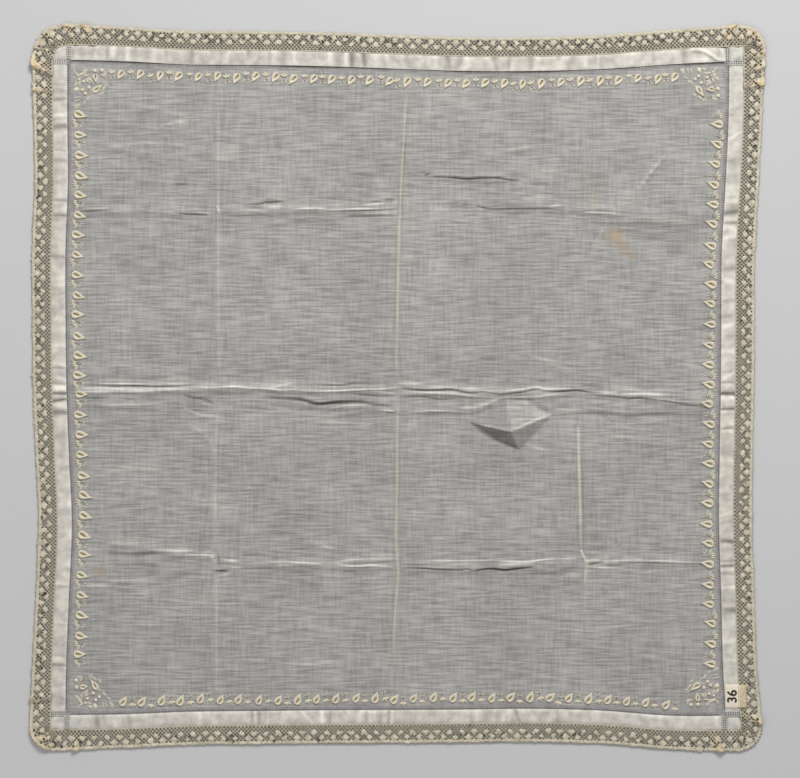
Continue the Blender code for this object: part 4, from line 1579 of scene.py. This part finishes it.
    def in_spot(self, u: Values, share: Values, size: float = 0.92) -> Values:
        """Whether a point lies inside one of the close spots, drawn at a share of their size."""
        out = share * self.width
        hidden = np.zeros(u.shape, bool)
        for row_share, offset in self.spot_lines():
            across = ((u / self.pitch - offset + 0.5) % 1.0 - 0.5) * self.pitch
            away = out - row_share * self.width
            hidden |= np.hypot(across / (self.spot_length / 2), away / (self.spot_width / 2)) < size
        return hidden

    def spot_rows(self, material: Material) -> Piece:
        """The two rows of close oval spots, staggered, each a low dome with an uneven rim."""
        dice = np.random.default_rng(self.seed)
        rows = bmesh.new()
        for row_share, offset in self.spot_lines():
            for index in range(self.spots):
                middle = (index + offset) * self.pitch + dice.normal(0.0, 0.3)
                out = row_share * self.width + dice.normal(0.0, 0.2)
                size = dice.uniform(0.7, 0.98)
                turn = Matrix.Rotation(dice.normal(0.0, 0.4), 4, "Z")
                half_length, half_width = self.spot_length / 2 * size, self.spot_width / 2 * size
                stretch = Matrix.Diagonal((half_length, half_width, 1.0, 1.0))
                spot = Matrix.Translation((middle, out, 0.0)) @ turn @ stretch
                ring = bmesh.ops.create_circle(
                    rows, cap_ends=True, segments=14, radius=1.0, matrix=spot
                )["verts"]
                face = next(iter(ring[0].link_faces))
                bmesh.ops.inset_individual(rows, faces=[face], thickness=0.5, depth=self.spot_height)
                centre = Vector((middle, out, 0.0))
                for vertex in ring:
                    vertex.co = centre + (vertex.co - centre) * dice.uniform(0.84, 1.3)
        piece = wrap("lace_spots", rows, [material])
        points = points_of(piece) * MM
        u = np.mod(points[:, 0], self.length)
        share = points[:, 1] / self.width
        x, y, z = self.place(u, share, self.close_lift)
        put_points(piece, np.column_stack([x, y, z + points[:, 2]]))
        return self.sewn(piece, np.maximum(self.age(u, share), 0.04))

    def band(self, material: Material) -> Piece:
        """The close outer band: arches on its inner side and small picots on its outer one."""
        columns = np.linspace(0.0, self.length, 4 * round(self.length / self.picot_pitch) + 1)
        rows = np.linspace(0.0, 1.0, 4)
        strip, spread = grid_mesh(columns, rows)
        dice = np.random.default_rng(self.seed + 1)
        rough = dice.normal(0.0, 0.02, len(columns) // 4 + 1)
        torn = dice.random((len(columns) // 2 + 1, 3)) < self.band_holes
        holes = []
        for face in strip.faces:
            middle = face.calc_center_median()
            column, row = int((middle.x + 1) / 4 * (len(columns) - 1)), int((middle.y + 1) * 1.5)
            if row < 2 and torn[column, row]:
                holes.append(face)
        bmesh.ops.delete(strip, geom=holes, context="FACES_ONLY")
        ages = {}

        def mapping(u: Values, r: Values) -> tuple:
            """Places the band, r running from its arches to its picots."""
            index = np.searchsorted(columns, u - 1e-6)
            picot = self.picot * np.cos(index * np.pi / 2) + rough[index // 4]
            drift = 0.012 * np.sin(u / 13.0) + 0.01 * np.sin(u / 5.1)
            outer = 1.0 + drift + picot
            share = self.arch(u) + r * (outer - self.arch(u))
            ages["age"] = np.maximum(self.age(u, share), 0.02 + 0.06 * r)
            x, y, z = self.place(u, share, self.close_lift)
            return x, y, z + 0.07 * np.sin(np.pi * r)

        spread(mapping)
        return self.sewn(wrap("lace_band", strip, [material]), ages["age"])

    def footing(self, material: Material) -> Piece:
        """The footing: a narrow cord of whipped stitches that joins the lace to the hem."""
        columns = np.linspace(0.0, self.length, round(self.length / self.whip_pitch) + 1)
        rows = np.linspace(0.0, 1.0, 4)
        strip, spread = grid_mesh(columns, rows)
        dice = np.random.default_rng(self.seed + 2)
        stitch = dice.normal(0.0, 1.0, len(columns))
        ages = {}

        def mapping(u: Values, r: Values) -> tuple:
            """Places the cord over the join, thick and thin by turns."""
            index = np.searchsorted(columns, u - 1e-6)
            swell = 0.06 * stitch[index] + np.where(index % 2 == 0, 0.07, -0.07)
            share = (-0.25 + r * (0.55 + swell)) / self.width
            ages["age"] = np.clip(0.08 + 0.1 * stitch[index], 0.0, 0.4)
            x, y, z = self.place(u, share, 0.05)
            return x, y, z + (0.22 + swell) * np.sin(np.pi * r)

        spread(mapping)
        return self.sewn(wrap("lace_footing", strip, [material]), ages["age"])


# Whitework


class Stitch(Enum):
    """What a part of the whitework is: a slit leaf, a petal (padded or flat), and so on."""

    LEAF = "leaf"
    PETAL = "petal"
    FLAT = "flat petal"
    GAP = "gap"
    DOT = "dot"
    EYELET = "eyelet"
    STEM = "stem"


@dataclass(frozen=True)
class Mark:
    """One part of a motif: its kind, its middle, the way it points, and its size."""

    stitch: Stitch
    x: float
    y: float
    turn: float
    length: float
    width: float


LEAF, PETAL, FLAT, GAP, DOT, EYELET, STEM = Stitch

Motif = tuple[Matrix, Sequence[Mark]]

# A leaf and its sprig on the left side, inwards along x, from the middle of the leaf's body
SIDE_MOTIF = (
    Mark(LEAF, 1.75, -0.35, -11, 8.4, 4.8),
    Mark(PETAL, -1.9, -3.6, 158, 2.6, 1.1),
    Mark(PETAL, -2.1, -4.7, 180, 2.6, 1.0),
    Mark(PETAL, -1.7, -5.7, 206, 2.4, 1.0),
    Mark(GAP, -1.2, -4.2, 168, 1.8, 0.45),
    Mark(GAP, -1.3, -5.1, 196, 1.8, 0.45),
    Mark(FLAT, -0.6, -6.9, 250, 3.8, 2.1),
    Mark(EYELET, 0.35, -4.1, 0, 1.15, 1.15),
    Mark(EYELET, 1.5, -4.6, 0, 1.1, 1.1),
    Mark(FLAT, 3.2, -5.0, 6, 2.2, 0.9),
    Mark(FLAT, 3.1, -6.3, -30, 2.4, 1.0),
    Mark(FLAT, 2.0, -6.9, -66, 2.2, 0.9),
)

# The same for the level sides, where the leaves are shorter and lean more
LEVEL_MOTIF = (
    Mark(LEAF, 1.0, -0.4, -31, 6.9, 4.5),
    Mark(PETAL, -0.8, -6.5, 242, 3.0, 1.4),
    Mark(PETAL, -1.5, -5.6, 196, 2.4, 1.2),
    Mark(PETAL, -1.0, -4.4, 135, 2.8, 1.4),
    Mark(GAP, 0.15, -5.9, 76, 2.0, 0.5),
    Mark(GAP, 0.1, -4.7, 112, 1.6, 0.5),
    Mark(EYELET, 1.75, -5.2, 0, 1.15, 1.15),
    Mark(FLAT, 2.6, -3.9, 50, 2.4, 1.0),
    Mark(FLAT, 2.9, -6.2, -36, 2.6, 1.0),
)

# The spray of a corner, from the inner corner of the hem, x inwards and y up
CORNER_SPRAY = (
    Mark(DOT, 14.6, -2.4, 0, 2.4, 2.4),
    Mark(DOT, 18.6, -2.2, 0, 2.3, 2.3),
    Mark(DOT, 8.2, -8.6, 0, 1.9, 1.9),
    Mark(DOT, 11.2, -12.0, 0, 2.2, 2.2),
    Mark(DOT, 7.4, -13.4, 0, 2.1, 2.1),
    Mark(DOT, 9.1, -15.4, 0, 2.0, 2.0),
    Mark(DOT, 5.6, -7.5, 0, 1.6, 1.6),
    Mark(LEAF, 14.9, -6.9, -84, 5.4, 3.2),
    Mark(LEAF, 16.6, -12.2, 36, 8.0, 3.7),
    Mark(GAP, 18.4, -5.6, -36, 6.4, 0.6),
    Mark(FLAT, 19.0, -5.0, -18, 2.8, 1.9),
    Mark(FLAT, 9.0, -2.6, 38, 3.4, 2.4),
    Mark(GAP, 7.4, -4.4, 20, 2.0, 0.6),
    Mark(GAP, 9.4, -6.0, 24, 2.4, 0.6),
    Mark(FLAT, 5.6, -9.4, 70, 3.6, 2.0),
    Mark(FLAT, 21.2, -10.6, -20, 3.0, 1.6),
    Mark(FLAT, 18.4, -15.6, 40, 3.6, 1.6),
    Mark(PETAL, 4.0, -13.0, 20, 3.6, 2.6),
    Mark(PETAL, 3.6, -9.9, 62, 3.6, 1.3),
    Mark(PETAL, 6.6, -4.4, 38, 3.4, 1.3),
    Mark(PETAL, 9.8, -5.2, 8, 3.0, 1.2),
    Mark(PETAL, 4.8, -4.9, 118, 2.8, 1.1),
    Mark(EYELET, 7.6, -6.7, 0, 1.1, 1.1),
    Mark(FLAT, 11.5, -7.7, -40, 4.4, 2.7),
    Mark(PETAL, 10.2, -8.4, -58, 3.0, 0.8),
    Mark(DOT, 11.7, -7.5, 0, 1.1, 1.1),
    Mark(FLAT, 8.0, -4.0, 34, 4.6, 2.0),
    Mark(FLAT, 20.4, -4.0, 70, 4.0, 2.2),
    Mark(FLAT, 19.9, -12.2, 52, 4.6, 1.7),
    Mark(FLAT, 13.6, -14.4, 40, 3.0, 1.6),
    Mark(EYELET, 12.6, -9.6, 0, 1.1, 1.1),
    Mark(FLAT, 4.4, -17.6, 12, 4.2, 1.3),
    Mark(FLAT, 4.6, -19.4, 14, 3.8, 1.3),
    Mark(FLAT, 10.8, -18.2, 58, 3.6, 1.8),
    Mark(FLAT, 8.4, -20.6, 60, 3.4, 1.4),
    Mark(FLAT, 4.6, -22.4, 30, 4.4, 2.6),
    Mark(FLAT, 3.2, -3.4, 120, 3.4, 1.5),
    Mark(STEM, 12.9, -16.6, 48, 4.2, 0.42),
    Mark(STEM, 20.6, -9.4, 8, 3.4, 0.4),
)


@dataclass(frozen=True)
class LeafRow:
    """The leaves along one side: where their middles run, and how many there are."""

    side: Side
    start: Point
    end: Point
    count: int


@dataclass
class Whitework:
    """The padded embroidery: a border of slit leaves and sprigs, and a spray at each corner."""

    plan: ClothPlan
    drape: Drape
    rows: tuple[LeafRow, ...] = (
        LeafRow(Side.LEFT, (8.4, 156.7), (8.8, -153.6), 28),
        LeafRow(Side.TOP, (-159.1, 9.1), (159.7, 9.1), 30),
        LeafRow(Side.RIGHT, (8.0, -158.3), (7.8, 151.7), 28),
        LeafRow(Side.BOTTOM, (156.0, 8.2), (-157.0, 8.2), 29),
    )
    padding: float = 0.78
    ground: float = 0.06
    segments: int = 14
    slit_lean: float = -0.22
    heart: float = -0.34
    hem_gap: float = 2.0
    spray_inset: Point = (1.3, -4.1)
    sway: float = 7.0
    shake: float = 0.35
    sizes: Point = (0.92, 1.06)
    seed: int = 5

    def build(
        self, thread: StitchedThread, slit: StitchedThread, hole: StitchedThread, flat: StitchedThread
    ) -> list[Piece]:
        """Works every motif.

        Args:
            thread: The padded thread's finish.
            slit: The finish of the cloth inside a slit leaf and in the gaps between petals, darkened with
                painted shade.
            hole: The finish inside an eyelet: a dark fill of painted shade.
            flat: The finish of the flat petals.

        Returns:
            The border and the sprays.
        """
        finishes = [thread.make(), slit.make(), hole.make(), flat.make()]
        return [
            self.work("whitework_border", self.border(), finishes),
            self.work("whitework_sprays", self.sprays(), finishes),
        ]

    def border(self) -> list[Motif]:
        """The place of each border motif, with the small unevenness of handwork."""
        dice = np.random.default_rng(self.seed)
        placed = []
        for row in self.rows:
            motif = LEVEL_MOTIF if row.side.level else SIDE_MOTIF
            for index in range(row.count):
                share = index / (row.count - 1)
                x, y = self.beside_hem(row, share)
                turn = math.radians(row.side.value + dice.normal(0.0, self.sway))
                size = dice.uniform(*self.sizes)
                shake = Vector((dice.normal(0.0, self.shake), dice.normal(0.0, self.shake), 0.0))
                spot = Matrix.Translation(Vector((x, y, 0.0)) + shake)
                placed.append((spot @ Matrix.Rotation(turn, 4, "Z") @ Matrix.Scale(size, 4), motif))
        return placed

    def beside_hem(self, row: LeafRow, share: float) -> Point:
        """The middle of a leaf: a set way in from the hem, however that wavers."""
        start, end = row.start, row.end
        axis = 0 if row.side.level else 1
        along = start[axis] * (1 - share) + end[axis] * share
        inward = start[1 - axis] * (1 - share) + end[1 - axis] * share
        inward += self.plan.hem - self.hem_gap
        if row.side.level:
            across = along / self.plan.width + 0.5
            down = inward / self.plan.height
            down = 1.0 - down if row.side is Side.BOTTOM else down
        else:
            across = inward / self.plan.width
            across = 1.0 - across if row.side is Side.RIGHT else across
            down = 0.5 - along / self.plan.height
        return self.plan.spot(across, down)

    def sprays(self) -> list[Motif]:
        """The four sprays, each turned to its corner."""
        inset_x = self.plan.hem / self.plan.width
        inset_y = self.plan.hem / self.plan.height
        corners = (
            (inset_x, inset_y, 0.0),
            (1 - inset_x, inset_y, -90.0),
            (1 - inset_x, 1 - inset_y, 180.0),
            (inset_x, 1 - inset_y, 90.0),
        )
        placed = []
        for across, down, turn in corners:
            spot = Matrix.Translation((*self.plan.spot(across, down), 0.0))
            inwards = Matrix.Translation((*self.spray_inset, 0.0))
            turned = Matrix.Rotation(math.radians(turn), 4, "Z")
            placed.append((spot @ turned @ inwards, CORNER_SPRAY))
        return placed

    def work(self, name: str, motifs: Sequence[Motif], finishes: Sequence[Material]) -> Piece:
        """Sews the motifs of one piece, and lays them on the folds of the cloth."""
        cloth = bmesh.new()
        for spot, marks in motifs:
            for mark in marks:
                turned = Matrix.Rotation(math.radians(mark.turn), 4, "Z")
                self.sew(cloth, mark, spot @ Matrix.Translation((mark.x, mark.y, 0.0)) @ turned)
        piece = wrap(name, cloth, finishes)
        points = points_of(piece) * MM
        ground = self.drape.read(points[:, 0], points[:, 1])[0]
        points[:, 2] += ground + self.ground
        put_points(piece, points)
        return settle(piece, "lawn")

    def sew(self, cloth: Shape, mark: Mark, spot: Matrix) -> None:
        """Adds one mark: an outline, filled, inset in steps and raised into its padding."""
        segments = {LEAF: self.segments, DOT: 10}.get(mark.stitch, 8)
        ring = bmesh.ops.create_circle(cloth, cap_ends=True, segments=segments, radius=1.0)["verts"]
        face = next(iter(ring[0].link_faces))
        angles = [math.atan2(vertex.co.y, vertex.co.x) for vertex in face.verts]
        worked = set(ring)
        for vertex, angle in zip(face.verts, angles):
            vertex.co = self.rim(mark, angle, 1.0, 0.0)
        for share, slit, height in self.steps(mark):
            sides = bmesh.ops.inset_region(cloth, faces=[face], thickness=0.0, use_boundary=True)["faces"]
            worked.update(vertex for side in sides for vertex in side.verts)
            for vertex, angle in zip(face.verts, angles):
                vertex.co = self.rim(mark, angle, share, slit)
                vertex.co.z = height * self.padding
        # Slits and gaps take the darker slit finish, with painted shade in these hollows; eyelets take a
        # dark fill of painted shade
        inside = {LEAF: 1, EYELET: 2, GAP: 1}
        face.material_index = inside.get(mark.stitch, 0)
        if mark.stitch is FLAT:
            for side in {side for vertex in worked for side in vertex.link_faces}:
                side.material_index = 3
        bmesh.ops.transform(cloth, matrix=spot, verts=list(worked))

    def rim(self, mark: Mark, angle: float, share: float, slit: float) -> Vector:
        """A point on one of a mark's rings.

        Args:
            mark: The mark.
            angle: Which way round it, in radians from its point.
            share: The ring's size, as a share of the outline.
            slit: How far the ring has gone over from the outline's shape to the slit's.

        Returns:
            The point, in the mark's own frame.
        """
        half_length, half_width = mark.length / 2, mark.width / 2
        taper = {
            LEAF: min(3.0 * (mark.length / mark.width - 1.05), 2.2),
            PETAL: 0.7,
            FLAT: 0.7,
        }.get(mark.stitch, 0.0)
        widest = 2.0 * ((taper + 1) / (taper + 2)) ** ((taper + 1) / 2) / math.sqrt(taper + 2)
        swell = math.sin(angle) * abs(math.sin(angle / 2)) ** taper / widest
        heart = Vector((self.heart * half_length * (mark.stitch is LEAF), 0.0, 0.0))
        outline = Vector((math.cos(angle) * half_length, swell * half_width, 0.0))
        lean = Matrix.Rotation(self.slit_lean, 3, "Z")
        gap_length = 0.6 * math.sqrt(half_length * half_width)
        gap = lean @ Vector((math.cos(angle) * gap_length, math.sin(angle) * 0.23 * half_width, 0.0))
        return heart + (outline - heart) * share * (1.0 - slit) + gap * slit

    def steps(self, mark: Mark) -> tuple[tuple[float, float, float], ...]:
        """The rings that raise a mark: each one's size, how far it is the slit, and its height."""
        return {
            LEAF: ((0.93, 0.0, 0.75), (0.8, 0.0, 1.0), (0.72, 0.6, 0.75), (0.6, 1.0, 0.1)),
            DOT: ((0.8, 0.0, 0.7), (0.45, 0.0, 1.0)),
            EYELET: ((0.85, 0.0, 0.2), (0.74, 0.0, 0.0)),
            GAP: ((0.9, 0.0, 0.1),),
            PETAL: ((0.7, 0.0, 0.55), (0.35, 0.0, 0.75)),
            FLAT: ((0.7, 0.0, 0.3), (0.35, 0.0, 0.4)),
            STEM: ((0.5, 0.0, 0.4),),
        }[mark.stitch]


# The number tape


@dataclass
class NumberTape:
    """The short sewn tape: cream on the hem with a plain number, tan where it meets the lace."""

    plan: ClothPlan
    width: float = 12.3
    height: float = 13.8
    centre_y: float = -177.0
    inset: float = 0.1
    hem_top: float = 1.95
    lace_top: float = 1.75
    thickness: float = 0.35
    number: str = "36"
    number_size: float = 7.6
    number_inset: float = 4.2
    number_bold: float = 0.16
    stitch: tuple[float, float, float] = (0.26, 0.3, 0.14)
    stitches: int = 11

    def __post_init__(self) -> None:
        """Finds the tape's left edge, just inside the hem's inner fold."""
        hem_edge, _ = self.plan.spot(1.0, 0.5 - self.centre_y / self.plan.height)
        self.left = hem_edge - self.plan.hem + self.inset

    def top(self, across: Values) -> Values:
        """The tape's height this far from its left edge: level, then down onto the lace."""
        step = ease((across - self.plan.hem - 0.4) / 1.6)
        return self.hem_top + (self.lace_top - self.hem_top) * step

    def build(
        self, cream: StitchedThread, tan: StitchedThread, ink_and_shade: StitchedThread
    ) -> list[Piece]:
        """Builds the tape, its number and its stitches.

        Args:
            cream: The finish of its face.
            tan: The finish of its outer end.
            ink_and_shade: The finish of the number and of the stitches' shadows.

        Returns:
            The tape first, then what is on it.
        """
        ink_finish = ink_and_shade.make()
        tape = self.tape([cream.make(), tan.make()])
        return [tape, self.figures(ink_finish), self.stitching(ink_finish)]

    def tape(self, finishes: Sequence[Material]) -> Piece:
        """The strip itself, a little uneven at its cut ends."""
        across = np.linspace(0.0, self.width, 25)
        up = np.linspace(-self.height / 2, self.height / 2, 19)
        strip, spread = grid_mesh(across, up)
        for face in strip.faces:
            place = (face.calc_center_median().x + 1) / 2 * self.width
            face.material_index = int(place > self.plan.hem + 0.1)

        def mapping(u: Values, v: Values) -> tuple:
            """Places the tape, its outer end a little shorter and its edges turned down."""
            shorter = 1.0 - 0.035 * (u > self.plan.hem + 0.1)
            from_middle = np.abs(2 * v / self.height)
            ragged = 0.1 * np.sin(u * 2.1) * from_middle**6
            turned = 0.28 * from_middle**8 + 0.25 * np.abs(2 * u / self.width - 1) ** 14
            return self.left + u, self.centre_y + v * shorter + ragged, self.top(u) - turned

        spread(mapping)
        piece = wrap("tape", strip, finishes)
        return settle(thickened(piece, self.thickness), "tape", "number_tape")

    def figures(self, material: Material) -> Piece:
        """The printed number, read from the right."""
        curve = bpy.data.curves.new("tape_number", "FONT")
        curve.body = self.number
        curve.size = self.number_size * MM
        curve.offset = self.number_bold * MM
        curve.extrude = 0.00004
        curve.align_x = "CENTER"
        curve.align_y = "CENTER"
        draft = show("tape_number_draft", curve)
        graph = bpy.context.evaluated_depsgraph_get()
        mesh = bpy.data.meshes.new_from_object(draft.evaluated_get(graph))
        bpy.data.objects.remove(draft)
        middle = Vector((self.left + self.number_inset, self.centre_y, self.hem_top + 0.06))
        mesh.transform(Matrix.Translation(middle * MM) @ Matrix.Rotation(math.pi / 2, 4, "Z"))
        mesh.materials.clear()
        mesh.materials.append(material)
        return settle(show("tape_number", mesh), "tape")

    def stitching(self, material: Material) -> Piece:
        """The dotted line of stitches down the tape, over the hem's edge, as dark dots of painted shade.
        """
        stitches = bmesh.new()
        for index in range(self.stitches):
            up = (index - (self.stitches - 1) / 2) * (self.height - 1.6) / (self.stitches - 1)
            across = self.plan.hem - 0.7
            spot = Matrix.Translation((self.left + across, self.centre_y + up, self.hem_top - 0.02))
            shape = Matrix.Diagonal((*self.stitch, 1.0))
            bmesh.ops.create_icosphere(stitches, subdivisions=1, radius=1.0, matrix=spot @ shape)
        bmesh.ops.scale(stitches, vec=(MM, MM, MM), verts=stitches.verts[:])
        piece = wrap("tape_stitch_shade", stitches, [material])
        return settle(piece, "tape")


# The studio


@dataclass(frozen=True)
class Lamp:
    """A soft lamp: its place and size in metres, and its power."""

    name: str
    place: tuple[float, float, float]
    size: float
    power: float


@dataclass
class Studio:
    """The floor, the lamps and the camera above the cloth."""

    picture_width: int = 800
    picture_height: int = 778
    mm_per_pixel: float = 0.573
    middle_pixel: Point = (398.3, 387.0)
    lens: float = 90.0
    sensor: float = 36.0
    floor_size: float = 3.0
    sky: Colour = (1.0, 1.0, 1.0, 1.0)
    sky_strength: float = 0.42
    lamps: tuple[Lamp, ...] = (
        Lamp("key", (0.35, 1.25, 1.05), 0.5, 26.0),
        Lamp("fill", (-0.9, -0.6, 1.3), 1.2, 6.0),
    )

    def build(self, floor: StudioFloor) -> None:
        """Sets the studio up.

        Args:
            floor: The floor's finish.
        """
        self.lay_floor(floor)
        for lamp in self.lamps:
            self.hang(lamp)
        world = bpy.data.worlds.new("studio")
        world.use_nodes = True
        background = world.node_tree.nodes["Background"]
        background.inputs["Color"].default_value = self.sky
        background.inputs["Strength"].default_value = self.sky_strength
        scene = bpy.context.scene
        scene.world = world
        scene.view_settings.view_transform = "Standard"
        self.aim()

    def lay_floor(self, finish: StudioFloor) -> None:
        """The plain floor, which isn't part of the object."""
        plane = bmesh.new()
        bmesh.ops.create_grid(plane, x_segments=1, y_segments=1, size=self.floor_size / 2)
        floor = wrap("floor", plane, [finish.make()])

    def hang(self, lamp: Lamp) -> None:
        """Hangs a square lamp and turns it to the cloth."""
        light = bpy.data.lights.new(lamp.name, "AREA")
        light.energy = lamp.power
        light.size = lamp.size
        holder = show(lamp.name, light)
        holder.location = lamp.place
        holder.rotation_euler = (-Vector(lamp.place)).to_track_quat("-Z", "Y").to_euler()

    def aim(self) -> None:
        """Puts the camera straight above, with the cloth where the photograph has it."""
        data = bpy.data.cameras.new("camera")
        data.lens = self.lens
        data.sensor_width = self.sensor
        data.sensor_fit = "HORIZONTAL"
        camera = show("camera", data)
        view_width = self.picture_width * self.mm_per_pixel * MM
        right = (self.picture_width / 2 - self.middle_pixel[0]) * self.mm_per_pixel * MM
        up = (self.middle_pixel[1] - self.picture_height / 2) * self.mm_per_pixel * MM
        camera.location = (right, up, view_width * self.lens / self.sensor)
        bpy.context.scene.camera = camera


def main() -> None:
    """Builds the handkerchief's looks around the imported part."""
    logging.basicConfig(level=logging.INFO, format="%(name)s %(message)s")
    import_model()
    plan = ClothPlan()
    drape = Drape()
    studio = Studio()
    studio.build(StudioFloor())

    lawn = LawnPanel(plan, drape).build(SheerLawn())
    hems = Hem(plan).build(DoubledLawn())
    drawn = DoubledLawn("drawn_threads", linear(96, 93, 92), linear(146, 143, 142), linear(196, 192, 186))
    lines = DrawnThreads(plan, drape).build(drawn.make())
    thread = StitchedThread("padded_thread", linear(205, 196, 174), sheen=0.2)
    # The slit's cloth, darkened with painted shade in the recess
    slit = StitchedThread("shaded_slit_cloth", linear(132, 121, 92))
    flat_thread = StitchedThread("flat_thread", linear(178, 174, 161))
    # A dark fill of painted shade for the eyelets
    hole = StitchedThread("eyelet_shade", linear(40, 38, 35))
    whitework = Whitework(plan, drape).build(thread, slit, hole, flat_thread)

    lace = NetLace(SewnEdge(plan))
    laid = lace.build(LaceThread(), LaceThread("lace_close_work", linear(201, 193, 174)))

    cream = StitchedThread("tape_face", linear(214, 205, 187))
    tan = StitchedThread("tape_tan", linear(192, 176, 146), change=0.3, clouds=900.0)
    # Ink for the printed number, and the painted shade of the stitches
    ink_and_shade = StitchedThread("ink_and_shade", linear(38, 34, 32), sheen=0.0)
    tape = NumberTape(plan)
    pieces = tape.build(cream, tan, ink_and_shade)


if __name__ == "__main__":
    main()
